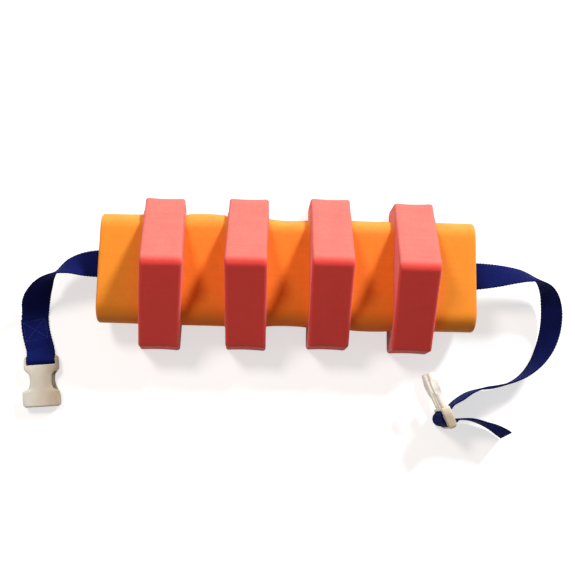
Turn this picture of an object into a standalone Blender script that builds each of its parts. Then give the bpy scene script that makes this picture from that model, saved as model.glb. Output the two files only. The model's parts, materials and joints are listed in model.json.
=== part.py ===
"""A foam swim belt, lying on its back as it does on a table.

A flat orange foam slab carries four coral foam floats, which slide along it. Navy webbing runs
through a slit in the slab and ends in the two halves of a side-release buckle.

X runs along the belt, Y across it and Z up from the table. The middle of the table side of the
floats is the origin. All sizes are in metres, and angles are in degrees where the name says so.
"""

import math

import bmesh
import bpy
from mathutils import Matrix, Vector

# The slab
SLAB_LENGTH = 0.320
SLAB_WIDTH = 0.095
SLAB_THICKNESS = 0.034
SLAB_SIDE_ROUNDING = 0.0155
SLAB_END_ROUNDING = 0.003
SLIT_WIDTH = 0.034
SLIT_PLAY = 0.0004

# The floats
FLOAT_THICKNESS = 0.035
FLOAT_WIDTH = 0.130
FLOAT_BACK_WALL = 0.010
FLOAT_SHOULDER_OVER_SLAB_MIDDLE = 0.0045
FLOAT_RIDGE_OVER_SLAB_MIDDLE = 0.0545
FLOAT_RIDGE_ROUNDING = 0.007
FLOAT_SHOULDER_ROUNDING = 0.005
FLOAT_BACK_ROUNDING = 0.005
FLOAT_FACE_ROUNDING = 0.0025
FLOAT_PITCH = 0.071
FLOAT_COUNT = 4

# The webbing
WEBBING_WIDTH = 0.024
WEBBING_THICKNESS = 0.0015
WEBBING_STEP = 0.004
WEBBING_END_INSIDE_SLIT = 0.010
LEFT_EXIT_SIDEWAYS = 0.0035
RIGHT_EXIT_SIDEWAYS = 0.0015

# The webbing's routes: how far out from the slab's end, how far across, how high over the table.
# The lean turns the webbing about its route, from flat at zero to on its edge at ninety.
LEFT_ROUTE = (
    (0.012, 0.0030, 0.0273),
    (0.0225, 0.0016, 0.0276),
    (0.032, -0.0016, 0.0282),
    (0.042, -0.0074, 0.0276),
    (0.0492, -0.0143, 0.0244),
    (0.0547, -0.0223, 0.0174),
    (0.0581, -0.0297, 0.0094),
    (0.0596, -0.0350, 0.0034),
)
LEFT_LEANS_DEG = (16, 36, 58, 84, 108, 131, 155, 171)
RIGHT_ROUTE = (
    (0.012, 0.0022, 0.0273),
    (0.024, 0.0029, 0.0274),
    (0.036, 0.0034, 0.0278),
    (0.047, 0.0032, 0.0274),
    (0.057, 0.0014, 0.0256),
    (0.065, -0.0030, 0.0220),
    (0.0702, -0.0100, 0.0180),
    (0.073, -0.0200, 0.0147),
    (0.0735, -0.0320, 0.0128),
    (0.0715, -0.0450, 0.0121),
    (0.0667, -0.0585, 0.0120),
    (0.0593, -0.0710, 0.0123),
    (0.0488, -0.0816, 0.0128),
    (0.0365, -0.0886, 0.0129),
    (0.0235, -0.0924, 0.0130),
    (0.011, -0.0944, 0.0133),
    (0.000, -0.0982, 0.0144),
    (-0.009, -0.1040, 0.0156),
)
RIGHT_LEANS_DEG = (
    -14, -29, -44, -57, -71, -88, -105, -117, -121, -120, -115, -105, -95, -89, -87, -89, -93, -95,
)
TAIL_ROUTE = (
    (0.0006, -0.1210, 0.0150),
    (0.012, -0.1240, 0.0140),
    (0.0197, -0.1268, 0.0130),
    (0.0268, -0.1308, 0.0125),
    (0.0315, -0.1338, 0.0125),
)
TAIL_LEANS_DEG = (-91, -93, -98, -103, -104)

# The fold at the left end, sewn down round the socket half's bar. Its route is measured from the
# bar, along the socket and across it. The sewn end lies over the second point.
FOLD_ROUTE = (
    (-0.0405, -0.0055),
    (-0.0375, -0.0057),
    (-0.0305, -0.0054),
    (-0.0235, -0.0044),
    (-0.0170, -0.0030),
    (-0.0115, -0.0016),
)
FOLD_RISE = (-0.0060, -0.0006)
FOLD_LOOP_SIDEWAYS = -0.0003
STITCH_BOX_LENGTH = 0.017
STITCH_BOX_WIDTH = 0.019
STITCH_THREAD = 0.0008
STITCH_HEIGHT = 0.0004

# The socket half of the buckle, measured from its bar towards its mouth
SOCKET_BAR_OUT = 0.0511
SOCKET_BAR_ACROSS = -0.0792
SOCKET_HEADING_DEG = -85
SOCKET_MOUTH_END = 0.0395
SOCKET_BAR_RADIUS = 0.0017
SOCKET_EAR_END = 0.0040
SOCKET_EAR_HALF_WIDTH = 0.0150
SOCKET_EAR_INSIDE = 0.0127
SOCKET_SLOT_END = 0.0042
SOCKET_SHOULDER_START = 0.0078
SOCKET_SHOULDER_END = 0.0120
SOCKET_WAIST_HALF_WIDTH = 0.0096
SOCKET_LIP_START = 0.0248
SOCKET_LIP_END = 0.0280
SOCKET_MOUTH_HALF_WIDTH = 0.0161
SOCKET_THICKNESS = 0.0094
SOCKET_OUTLINE_ROUNDING = 0.0018
SOCKET_WAIST_ROUNDING = 0.0026
SOCKET_LIP_ROUNDING = 0.0010
SOCKET_MOUTH_ROUNDING = 0.003
SOCKET_EDGE_ROUNDING = 0.0008
SOCKET_SIDE_WALL = 0.0021
SOCKET_FACE_WALL = 0.0014

# The prong half of the buckle, measured from its middle bar towards its tips
PRONG_BODY_OUT = -0.022
PRONG_BODY_ACROSS = -0.1193
PRONG_BODY_HEADING_DEG = 113
FRAME_HALF_WIDTH = 0.0165
FRAME_RAIL = 0.0034
FRAME_THICKNESS = 0.0078
FRAME_OUTER_END = 0.0102
FRAME_WINDOW_OUTER_END = 0.0080
FRAME_WINDOW_INNER_END = 0.0066
FRAME_SHOULDER_END = 0.0086
FRAME_BAR_RADIUS = 0.0020
FRAME_CORNER_ROUNDING = 0.0022
FRAME_WINDOW_ROUNDING = 0.0010
FRAME_EDGE_ROUNDING = 0.0008
TONGUE_LENGTH = 0.0150
TONGUE_HALF_WIDTH = 0.0042
TONGUE_THICKNESS = 0.0036
TONGUE_END_ROUNDING = 0.0030
TONGUE_EDGE_ROUNDING = 0.0005
PRONG_HALF_WIDTH = 0.0019
PRONG_SIDEWAYS = 0.0104
PRONG_LENGTH = 0.0272
PRONG_CATCH_START = 0.0145
PRONG_PAD_END = 0.0220
PRONG_PAD_OUT = 0.0053
PRONG_TIP_ROUNDING = 0.0016
PRONG_EDGE_ROUNDING = 0.0008

# How the webbing threads through the prong half
WRAP_LEG = 0.0048
WRAP_TURN_START = 0.0020
WRAP_REACH = 0.0074
LEG_END = 0.0025
LEG_APPROACH = ((0.0053, 0.0058), (0.0070, 0.0090))
TAIL_APPROACH = ((-0.0048, 0.0060), (-0.0047, 0.0095))

# Clearances and the smoothness of rounded shapes
GAP = 0.0003
OVERRUN = 0.004
BUCKLE_FACE_PLAY = 0.0002
BUCKLE_END_PLAY = 0.0005
MERGE = 0.00001
ARC_STEPS = 5
EDGE_STEPS = 1
BAR_SIDES = 16
SMOOTH_ANGLE_DEG = 35
LOOP_STEPS = 8

UP = Vector((0, 0, 1))
SLAB_MIDDLE = FLOAT_BACK_WALL + GAP + SLAB_THICKNESS / 2
SLIT_HEIGHT = WEBBING_THICKNESS + 2 * SLIT_PLAY
SOCKET_HOLLOW_HEIGHT = SOCKET_THICKNESS - 2 * SOCKET_FACE_WALL
PRONG_THICKNESS = SOCKET_HOLLOW_HEIGHT - 2 * BUCKLE_FACE_PLAY
# Pushed home, the frame's shoulder meets the socket's mouth and the tips stop short of its floor.
PRONG_REACH = GAP + PRONG_HALF_WIDTH + PRONG_LENGTH
SOCKET_DEEP_END = SOCKET_MOUTH_END - PRONG_REACH - BUCKLE_END_PLAY


def linear(hex_colour):
    """The linear colour of an sRGB hex code."""
    shares = [int(hex_colour[k:k + 2], 16) / 255 for k in (0, 2, 4)]
    return [s / 12.92 if s <= 0.04045 else ((s + 0.055) / 1.055) ** 2.4 for s in shares] + [1]


def material(name, hex_colour, roughness):
    made = bpy.data.materials.new(name)
    made.use_nodes = True
    made.diffuse_color = linear(hex_colour)
    shader = made.node_tree.nodes["Principled BSDF"]
    shader.inputs["Base Color"].default_value = linear(hex_colour)
    shader.inputs["Roughness"].default_value = roughness
    shader.inputs["Metallic"].default_value = 0
    return made


def start_scene():
    for thing in list(bpy.data.objects):
        bpy.data.objects.remove(thing)
    for name in ("swim_belt", "cutters"):
        bpy.context.scene.collection.children.link(bpy.data.collections.new(name))


def add_object(name, mesh, paint, location=(0, 0, 0), rotation=(0, 0, 0), parent=None):
    thing = bpy.data.objects.new(name, mesh)
    thing.location = location
    thing.rotation_euler = rotation
    thing.parent = parent
    if paint:
        mesh.materials.clear()
        mesh.materials.append(paint)
    bpy.data.collections["swim_belt"].objects.link(thing)
    return thing


def add_cutter(name, mesh, parent=None, location=(0, 0, 0), rotation=(0, 0, 0)):
    """A guide shape that cuts or joins another piece and isn't part of the belt."""
    thing = bpy.data.objects.new(name, mesh)
    thing.location = location
    thing.rotation_euler = rotation
    thing.parent = parent
    thing.hide_render = True
    thing.display_type = "WIRE"
    bpy.data.collections["cutters"].objects.link(thing)
    return thing


def combine(target, tool, operation):
    change = target.modifiers.new(tool.name, "BOOLEAN")
    change.operation = operation
    change.solver = "EXACT"
    change.object = tool


def arc(centre, radius, start, end, steps):
    """Points on an arc, angles in radians."""
    angles = [start + (end - start) * k / steps for k in range(steps + 1)]
    return [Vector((centre[0] + radius * math.cos(a), centre[1] + radius * math.sin(a))) for a in angles]


def rounded(corners, radii, steps=ARC_STEPS):
    """A closed outline whose corners, given counterclockwise, are rounded by the radii."""
    points = []
    count = len(corners)
    for k, radius in enumerate(radii):
        here = Vector(corners[k])
        if radius == 0:
            points.append(here)
            continue
        back = (Vector(corners[k - 1]) - here).normalized()
        ahead = (Vector(corners[(k + 1) % count]) - here).normalized()
        half = back.angle(ahead) / 2
        centre = here + (back + ahead).normalized() * (radius / math.sin(half))
        start = here + back * (radius / math.tan(half)) - centre
        end = here + ahead * (radius / math.tan(half)) - centre
        first = math.atan2(start.y, start.x)
        turn = math.remainder(math.atan2(end.y, end.x) - first, math.tau)
        points += arc(centre, radius, first, first + turn, steps)
    return points


def rectangle(low, high):
    """The corners between two opposite ones, counterclockwise."""
    return [low, (high[0], low[1]), high, (low[0], high[1])]


def plate_mesh(name, outlines, thickness, edge_rounding=0):
    """A flat outline, with the later outlines as holes, filled and given its thickness."""
    curve = bpy.data.curves.new(name, "CURVE")
    curve.dimensions = "2D"
    curve.fill_mode = "BOTH"
    curve.extrude = thickness / 2 - edge_rounding
    curve.bevel_depth = edge_rounding
    curve.bevel_resolution = EDGE_STEPS
    curve.offset = -edge_rounding
    for number, outline in enumerate(outlines):
        ordered = outline[::-1] if number else outline
        spline = curve.splines.new("POLY")
        spline.points.add(len(ordered) - 1)
        for point, place in zip(spline.points, ordered):
            point.co = (place[0], place[1], 0, 1)
        spline.use_cyclic_u = True
    guide = add_cutter(name + "_outline", curve)
    bpy.context.view_layer.update()
    evaluated = guide.evaluated_get(bpy.context.evaluated_depsgraph_get())
    mesh = bpy.data.meshes.new_from_object(evaluated)
    mesh.name = name
    bpy.data.objects.remove(guide)
    tidy = bmesh.new()
    tidy.from_mesh(mesh)
    bmesh.ops.remove_doubles(tidy, verts=tidy.verts, dist=MERGE)
    bmesh.ops.recalc_face_normals(tidy, faces=tidy.faces)
    tidy.to_mesh(mesh)
    tidy.free()
    return mesh


def box_mesh(name, low, high):
    """A box between two corners."""
    shape = bmesh.new()
    bmesh.ops.create_cube(shape, size=1)
    size = Vector(high) - Vector(low)
    bmesh.ops.scale(shape, vec=size, verts=shape.verts)
    bmesh.ops.translate(shape, vec=(Vector(low) + Vector(high)) / 2, verts=shape.verts)
    mesh = bpy.data.meshes.new(name)
    shape.to_mesh(mesh)
    shape.free()
    return mesh


def bar_mesh(name, radius, length):
    """A round bar along Y."""
    shape = bmesh.new()
    bmesh.ops.create_cone(
        shape, cap_ends=True, segments=BAR_SIDES, radius1=radius, radius2=radius, depth=length,
        matrix=Matrix.Rotation(math.pi / 2, 4, "X"),
    )
    mesh = bpy.data.meshes.new(name)
    shape.to_mesh(mesh)
    shape.free()
    return mesh


def along_belt(mesh):
    """Turns a plate so that its outline stands across the belt and its thickness runs along it."""
    mesh.transform(Matrix(((0, 0, 1, 0), (1, 0, 0, 0), (0, 1, 0, 0), (0, 0, 0, 1))))
    return mesh


def smooth_faces(mesh):
    mesh.shade_smooth()
    mesh.set_sharp_from_angle(angle=math.radians(SMOOTH_ANGLE_DEG))


# The foam

def slab_section(room=0):
    """The slab's section about its middle, made larger all round by the room."""
    y = SLAB_WIDTH / 2 + room
    z = SLAB_THICKNESS / 2 + room
    return rounded(rectangle((-y, -z), (y, z)), [SLAB_SIDE_ROUNDING + room] * 4)


def make_slab(paint):
    mesh = along_belt(plate_mesh("core_slab", [slab_section()], SLAB_LENGTH, SLAB_END_ROUNDING))
    slab = add_object("core_slab", mesh, paint, location=(0, 0, SLAB_MIDDLE))
    corner = Vector((SLAB_LENGTH / 2 + OVERRUN, SLIT_WIDTH / 2, SLIT_HEIGHT / 2))
    slit = box_mesh("slit", -corner, corner)
    combine(slab, add_cutter("slit_cutter", slit, location=(0, 0, SLAB_MIDDLE)), "DIFFERENCE")
    smooth_faces(mesh)


def float_section():
    """The float's house-shaped outline about the slab's middle: flat back, two roof faces."""
    side = FLOAT_WIDTH / 2
    corners = [
        (-side, -SLAB_MIDDLE),
        (side, -SLAB_MIDDLE),
        (side, FLOAT_SHOULDER_OVER_SLAB_MIDDLE),
        (0, FLOAT_RIDGE_OVER_SLAB_MIDDLE),
        (-side, FLOAT_SHOULDER_OVER_SLAB_MIDDLE),
    ]
    radii = [
        FLOAT_BACK_ROUNDING, FLOAT_BACK_ROUNDING, FLOAT_SHOULDER_ROUNDING,
        FLOAT_RIDGE_ROUNDING, FLOAT_SHOULDER_ROUNDING,
    ]
    return rounded(corners, radii)


def make_floats(paint):
    mesh = along_belt(plate_mesh("float_block", [float_section()], FLOAT_THICKNESS, FLOAT_FACE_ROUNDING))
    smooth_faces(mesh)
    hole_mesh = along_belt(plate_mesh("float_hole", [slab_section(GAP)], FLOAT_THICKNESS + 2 * OVERRUN))
    first = -FLOAT_PITCH * (FLOAT_COUNT - 1) / 2
    for number in range(FLOAT_COUNT):
        place = (first + number * FLOAT_PITCH, 0, SLAB_MIDDLE)
        block = add_object(f"float_block_{number + 1}", mesh, paint, location=place)
        combine(block, add_cutter(f"float_hole_{number + 1}", hole_mesh, location=place), "DIFFERENCE")


# The webbing

def smooth_route(points, leans):
    """Stations about a step apart on a smooth curve through the route's points."""
    stations = []
    for k in range(len(points) - 1):
        before = points[max(k - 1, 0)]
        after = points[min(k + 2, len(points) - 1)]
        start, end = points[k], points[k + 1]
        lean_before = leans[max(k - 1, 0)]
        lean_after = leans[min(k + 2, len(points) - 1)]
        steps = max(1, math.ceil((end - start).length / WEBBING_STEP))
        for step in range(steps):
            s = step / steps
            stations.append((
                catmull(before, start, end, after, s),
                catmull(lean_before, leans[k], leans[k + 1], lean_after, s),
            ))
    stations.append((points[-1], leans[-1]))
    return stations


def catmull(before, start, end, after, s):
    """A smooth value between start and end, s from nought to one."""
    leave = (end - before) / 2
    arrive = (after - start) / 2
    return (
        start * (2 * s ** 3 - 3 * s ** 2 + 1) + leave * (s ** 3 - 2 * s ** 2 + s)
        + end * (3 * s ** 2 - 2 * s ** 3) + arrive * (s ** 3 - s ** 2)
    )


def directions(places):
    """The direction of travel at each place."""
    last = len(places) - 1
    return [(places[min(k + 1, last)] - places[max(k - 1, 0)]).normalized() for k in range(last + 1)]


def leaned(stations):
    """Places with the direction across the webbing, from places with leans in degrees."""
    places = [place for place, lean in stations]
    across = []
    for (place, lean), ahead in zip(stations, directions(places)):
        level = UP.cross(ahead).normalized()
        over = ahead.cross(level)
        angle = math.radians(lean)
        across.append(level * math.cos(angle) + over * math.sin(angle))
    return list(zip(places, across))


def strip_mesh(name, stations):
    """Webbing lofted through its stations, each a place and the direction across it there."""
    shape = bmesh.new()
    rings = []
    for (place, across), ahead in zip(stations, directions([place for place, across in stations])):
        half_width = across * (WEBBING_WIDTH / 2)
        half_thickness = ahead.cross(across).normalized() * (WEBBING_THICKNESS / 2)
        corners = (
            half_width + half_thickness, half_thickness - half_width,
            -half_width - half_thickness, half_width - half_thickness,
        )
        rings.append([shape.verts.new(place + corner) for corner in corners])
    for ring, following in zip(rings, rings[1:]):
        for k in range(4):
            shape.faces.new((ring[k], ring[k - 3], following[k - 3], following[k]))
    shape.faces.new(rings[0][::-1])
    shape.faces.new(rings[-1])
    bmesh.ops.recalc_face_normals(shape, faces=shape.faces)
    mesh = bpy.data.meshes.new(name)
    shape.to_mesh(mesh)
    shape.free()
    return mesh


def exit_points(side, sideways):
    """The webbing's first two points, inside the slit and at the slab's end."""
    end = side * SLAB_LENGTH / 2
    inside = end - side * WEBBING_END_INSIDE_SLIT
    return [Vector((inside, sideways, SLAB_MIDDLE)), Vector((end, sideways, SLAB_MIDDLE))]


def from_slab_end(side, route):
    return [Vector((side * (SLAB_LENGTH / 2 + out), across, height)) for out, across, height in route]


def socket_place():
    """Where the socket half's bar is, and its axes: along it, across it and up."""
    heading = math.radians(SOCKET_HEADING_DEG)
    along = Vector((math.cos(heading), math.sin(heading), 0))
    bar = Vector((-SLAB_LENGTH / 2 - SOCKET_BAR_OUT, SOCKET_BAR_ACROSS, GAP + SOCKET_THICKNESS / 2))
    return bar, along, UP.cross(along)


def prong_body_place():
    """Where the prong half's middle bar is, and its axes: towards its tips and out of its face."""
    heading = math.radians(PRONG_BODY_HEADING_DEG)
    along = Vector((math.cos(heading), math.sin(heading), 0))
    bar = Vector((SLAB_LENGTH / 2 + PRONG_BODY_OUT, PRONG_BODY_ACROSS, FRAME_HALF_WIDTH))
    return bar, along, along.cross(UP)


def on_socket(distance, sideways, height):
    """A place given along the socket half and across it, and a height over the table."""
    bar, along, across = socket_place()
    place = bar + along * distance + across * sideways
    place.z = height
    return place


def fold_low():
    """The height of the middle of the webbing that lies on the table."""
    return GAP / 2 + WEBBING_THICKNESS / 2


def station_on_fold(station):
    """True where the sewn end lies over the webbing."""
    bar, along, across = socket_place()
    place = station[0]
    return place.y < 0 and (place - bar).dot(along) > FOLD_ROUTE[1][0] - MERGE


def left_stations():
    """Out of the slit, down to the table, round the socket's bar and back on top of itself."""
    bar, along, across = socket_place()
    low = fold_low()
    layer = WEBBING_THICKNESS + GAP
    flat = [on_socket(distance, sideways, low) for distance, sideways in FOLD_ROUTE]
    points = exit_points(-1, LEFT_EXIT_SIDEWAYS) + from_slab_end(-1, LEFT_ROUTE) + flat
    leans = (0, 0) + LEFT_LEANS_DEG + (180,) * len(flat)
    under = leaned(smooth_route(points, leans))
    sewn = [station for station in under if station_on_fold(station)]
    loop = SOCKET_BAR_RADIUS + GAP + WEBBING_THICKNESS / 2
    turn = [(on_socket(*FOLD_RISE, low + GAP), -across)]
    for k in range(LOOP_STEPS + 1):
        angle = math.pi * k / LOOP_STEPS - math.pi / 2
        height = bar.z + loop * math.sin(angle)
        turn.append((on_socket(loop * math.cos(angle), FOLD_LOOP_SIDEWAYS, height), -across))
    turn.append((on_socket(*FOLD_RISE, (bar.z + loop + low + layer) / 2), -across))
    over = [(place + UP * layer, across_webbing) for place, across_webbing in sewn[::-1]]
    return under + turn + over


def threaded(distances):
    """Stations on the prong half, from distances along it and out of its face."""
    bar, along, out = prong_body_place()
    return [(bar + along * a + out * b, -UP) for a, b in distances]


def right_stations():
    """Out of the slit, round in a wide bend on its edge, and into the prong half's frame."""
    legs = threaded([*LEG_APPROACH[::-1], (WRAP_LEG, LEG_END)])
    points = exit_points(1, RIGHT_EXIT_SIDEWAYS) + from_slab_end(1, RIGHT_ROUTE)
    points += [place for place, across in legs]
    leans = (0, 0) + RIGHT_LEANS_DEG + (-90,) * len(legs)
    return leaned(smooth_route(points, leans))


def tail_stations():
    """Round the frame's middle bar, out of its other slot and away as the loose tail."""
    turn = [(WRAP_LEG, LEG_END - GAP)]
    for k in range(LOOP_STEPS + 1):
        angle = math.pi * k / LOOP_STEPS
        depth = WRAP_TURN_START + (WRAP_REACH - WRAP_TURN_START) * math.sin(angle)
        turn.append((WRAP_LEG * math.cos(angle), -depth))
    turn.append((-WRAP_LEG, LEG_END))
    wrap = threaded(turn)
    start = [place for place, across in threaded(TAIL_APPROACH)]
    points = start + from_slab_end(1, TAIL_ROUTE)
    leans = (-90,) * len(start) + TAIL_LEANS_DEG
    return wrap + leaned(smooth_route(points, leans))


def make_webbing(paint):
    add_object("webbing_left", strip_mesh("webbing_left", left_stations()), paint)
    add_object("webbing_right", strip_mesh("webbing_right", right_stations()), paint)
    add_object("webbing_tail", strip_mesh("webbing_tail", tail_stations()), paint)
    left, right = exit_points(-1, LEFT_EXIT_SIDEWAYS)[0], exit_points(1, RIGHT_EXIT_SIDEWAYS)[0]
    inward = Vector((GAP, 0, 0))
    core = leaned([(left + inward, 0), (right - inward, 0)])
    add_object("webbing_core", strip_mesh("webbing_core", core), paint)


def make_stitching(paint):
    """The sewn box and cross that hold the fold, a flat frame of thread on the upper layer."""
    height = fold_low() + WEBBING_THICKNESS / 2 + GAP + WEBBING_THICKNESS + GAP + STITCH_HEIGHT / 2
    back, front = [on_socket(*point, height) for point in FOLD_ROUTE[2:4]]
    ahead = front - back
    half = (STITCH_BOX_LENGTH / 2, STITCH_BOX_WIDTH / 2)
    inner = (half[0] - STITCH_THREAD, half[1] - STITCH_THREAD)
    # Each of the four holes is a triangle between the frame and the two crossing threads.
    diagonal = math.hypot(inner[0], inner[1])
    along_cut = STITCH_THREAD / 2 * diagonal / inner[1]
    across_cut = STITCH_THREAD / 2 * diagonal / inner[0]
    frame = rectangle((-half[0], -half[1]), half)
    holes = [
        [(along_cut, 0), (inner[0], -inner[1] + across_cut), (inner[0], inner[1] - across_cut)],
        [(-along_cut, 0), (-inner[0], inner[1] - across_cut), (-inner[0], -inner[1] + across_cut)],
        [(0, across_cut), (inner[0] - along_cut, inner[1]), (-inner[0] + along_cut, inner[1])],
        [(0, -across_cut), (-inner[0] + along_cut, -inner[1]), (inner[0] - along_cut, -inner[1])],
    ]
    mesh = plate_mesh("box_stitch", [frame, *holes], STITCH_HEIGHT)
    turn = (0, 0, math.atan2(ahead.y, ahead.x))
    add_object("box_stitch", mesh, paint, (back + front) / 2, turn)


# The buckle

def socket_outline():
    """The socket half seen flat: ears at the bar, waist with finger notches, wide mouth."""
    side = [
        (-SOCKET_EAR_END, SOCKET_EAR_HALF_WIDTH, SOCKET_OUTLINE_ROUNDING),
        (SOCKET_SHOULDER_START, SOCKET_EAR_HALF_WIDTH, SOCKET_OUTLINE_ROUNDING),
        (SOCKET_SHOULDER_END, SOCKET_WAIST_HALF_WIDTH, SOCKET_WAIST_ROUNDING),
        (SOCKET_LIP_START, SOCKET_WAIST_HALF_WIDTH, SOCKET_WAIST_ROUNDING),
        (SOCKET_LIP_END, SOCKET_MOUTH_HALF_WIDTH, SOCKET_LIP_ROUNDING),
        (SOCKET_MOUTH_END, SOCKET_MOUTH_HALF_WIDTH, SOCKET_MOUTH_ROUNDING),
    ]
    lower = [(a, -w) for a, w, r in side]
    upper = [(a, w) for a, w, r in side[::-1]]
    radii = [r for a, w, r in side]
    return rounded(lower + upper, radii + radii[::-1], steps=3)


def make_socket(paint):
    bar = socket_place()[0]
    turn = (0, 0, math.radians(SOCKET_HEADING_DEG))
    mesh = plate_mesh("buckle_socket", [socket_outline()], SOCKET_THICKNESS, SOCKET_EDGE_ROUNDING)
    body = add_object("buckle_socket", mesh, paint, bar, turn)
    high = SOCKET_HOLLOW_HEIGHT / 2
    wide = SOCKET_MOUTH_HALF_WIDTH - SOCKET_SIDE_WALL
    mouth = SOCKET_MOUTH_END + OVERRUN
    hollow = box_mesh("socket_hollow", (SOCKET_DEEP_END, -wide, -high), (mouth, wide, high))
    combine(body, add_cutter("socket_hollow", hollow, location=bar, rotation=turn), "DIFFERENCE")
    reach = SOCKET_THICKNESS / 2 + OVERRUN
    slot = box_mesh(
        "socket_slot", (-SOCKET_EAR_END - OVERRUN, -SOCKET_EAR_INSIDE, -reach),
        (SOCKET_SLOT_END, SOCKET_EAR_INSIDE, reach),
    )
    combine(body, add_cutter("socket_slot", slot, location=bar, rotation=turn), "DIFFERENCE")
    rod = bar_mesh("socket_bar", SOCKET_BAR_RADIUS, SOCKET_EAR_INSIDE + SOCKET_EAR_HALF_WIDTH)
    combine(body, add_cutter("socket_bar", rod, location=bar, rotation=turn), "UNION")
    smooth_faces(body.data)


def make_prong_half(paint):
    bar = prong_body_place()[0]
    turn = (math.pi / 2, 0, math.radians(PRONG_BODY_HEADING_DEG))
    frame = rectangle((-FRAME_OUTER_END, -FRAME_HALF_WIDTH), (FRAME_SHOULDER_END, FRAME_HALF_WIDTH))
    outline = rounded(frame, [FRAME_CORNER_ROUNDING] * 4, steps=3)
    mesh = plate_mesh("buckle_prong_body", [outline], FRAME_THICKNESS, FRAME_EDGE_ROUNDING)
    body = add_object("buckle_prong_body", mesh, paint, bar, turn)
    wide = FRAME_HALF_WIDTH - FRAME_RAIL
    window = rectangle((-FRAME_WINDOW_OUTER_END, -wide), (FRAME_WINDOW_INNER_END, wide))
    window = rounded(window, [FRAME_WINDOW_ROUNDING] * 4, steps=2)
    hole_mesh = plate_mesh("frame_window", [window], FRAME_THICKNESS + 2 * OVERRUN)
    combine(body, add_cutter("frame_window", hole_mesh, location=bar, rotation=turn), "DIFFERENCE")
    rod = bar_mesh("frame_bar", FRAME_BAR_RADIUS, 2 * wide + FRAME_RAIL)
    combine(body, add_cutter("frame_bar", rod, location=bar, rotation=turn), "UNION")
    root = (FRAME_WINDOW_INNER_END + FRAME_SHOULDER_END) / 2
    tip = FRAME_SHOULDER_END + TONGUE_LENGTH
    tongue = rectangle((root, -TONGUE_HALF_WIDTH), (tip, TONGUE_HALF_WIDTH))
    tongue = rounded(tongue, [0, TONGUE_END_ROUNDING, TONGUE_END_ROUNDING, 0], steps=3)
    tongue_mesh = plate_mesh("tongue", [tongue], TONGUE_THICKNESS, TONGUE_EDGE_ROUNDING)
    combine(body, add_cutter("tongue", tongue_mesh, location=bar, rotation=turn), "UNION")
    smooth_faces(body.data)
    for name, side in (("buckle_prong_left", -1), ("buckle_prong_right", 1)):
        make_prong(name, side, body, paint)


def prong_outline(side):
    """A prong seen flat, from its round root: a slim arm, a catch, a finger pad and a tapered tip."""
    half = PRONG_HALF_WIDTH
    root = arc((0, 0), half, math.pi / 2, math.pi * 3 / 2, ARC_STEPS)
    arm = [
        (PRONG_LENGTH, -half),
        (PRONG_LENGTH, half),
        (PRONG_PAD_END, PRONG_PAD_OUT),
        (PRONG_CATCH_START, PRONG_PAD_OUT),
        (PRONG_CATCH_START, half),
    ]
    radii = [PRONG_TIP_ROUNDING, PRONG_TIP_ROUNDING / 2, PRONG_TIP_ROUNDING, PRONG_TIP_ROUNDING / 2, 0]
    closed = rounded([tuple(root[-1]), *arm, tuple(root[0])], [0, *radii, 0], steps=3)
    outline = root[1:-1] + closed
    return [(p[0], p[1] * side) for p in outline][::side]


def make_prong(name, side, body, paint):
    mesh = plate_mesh(name, [prong_outline(side)], PRONG_THICKNESS, PRONG_EDGE_ROUNDING)
    hinge = (FRAME_SHOULDER_END + GAP + PRONG_HALF_WIDTH, side * PRONG_SIDEWAYS, 0)
    smooth_faces(mesh)
    add_object(name, mesh, paint, hinge, parent=body)


def main():
    start_scene()
    orange = material("orange_foam", "F09C32", 0.85)
    coral = material("coral_foam", "F07A6C", 0.85)
    navy = material("navy_webbing", "141C6E", 0.75)
    thread = material("navy_thread", "1C2680", 0.7)
    white = material("white_plastic", "E4DACB", 0.35)
    make_slab(orange)
    make_floats(coral)
    make_webbing(navy)
    make_stitching(thread)
    make_socket(white)
    make_prong_half(white)


main()
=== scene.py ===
# %% [markdown]
# # A foam swim belt
# A flat orange slab of foam carries four coral floats, and navy webbing runs through the slab to
# the two halves of a white side-release buckle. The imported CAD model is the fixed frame. This
# lesson dresses it: each soft piece is modelled again with its real softness, and each finish is
# built from what the real material is.
# %% Frame
import json
import math

import bmesh
import bpy
from mathutils import Matrix, Vector, noise

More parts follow.
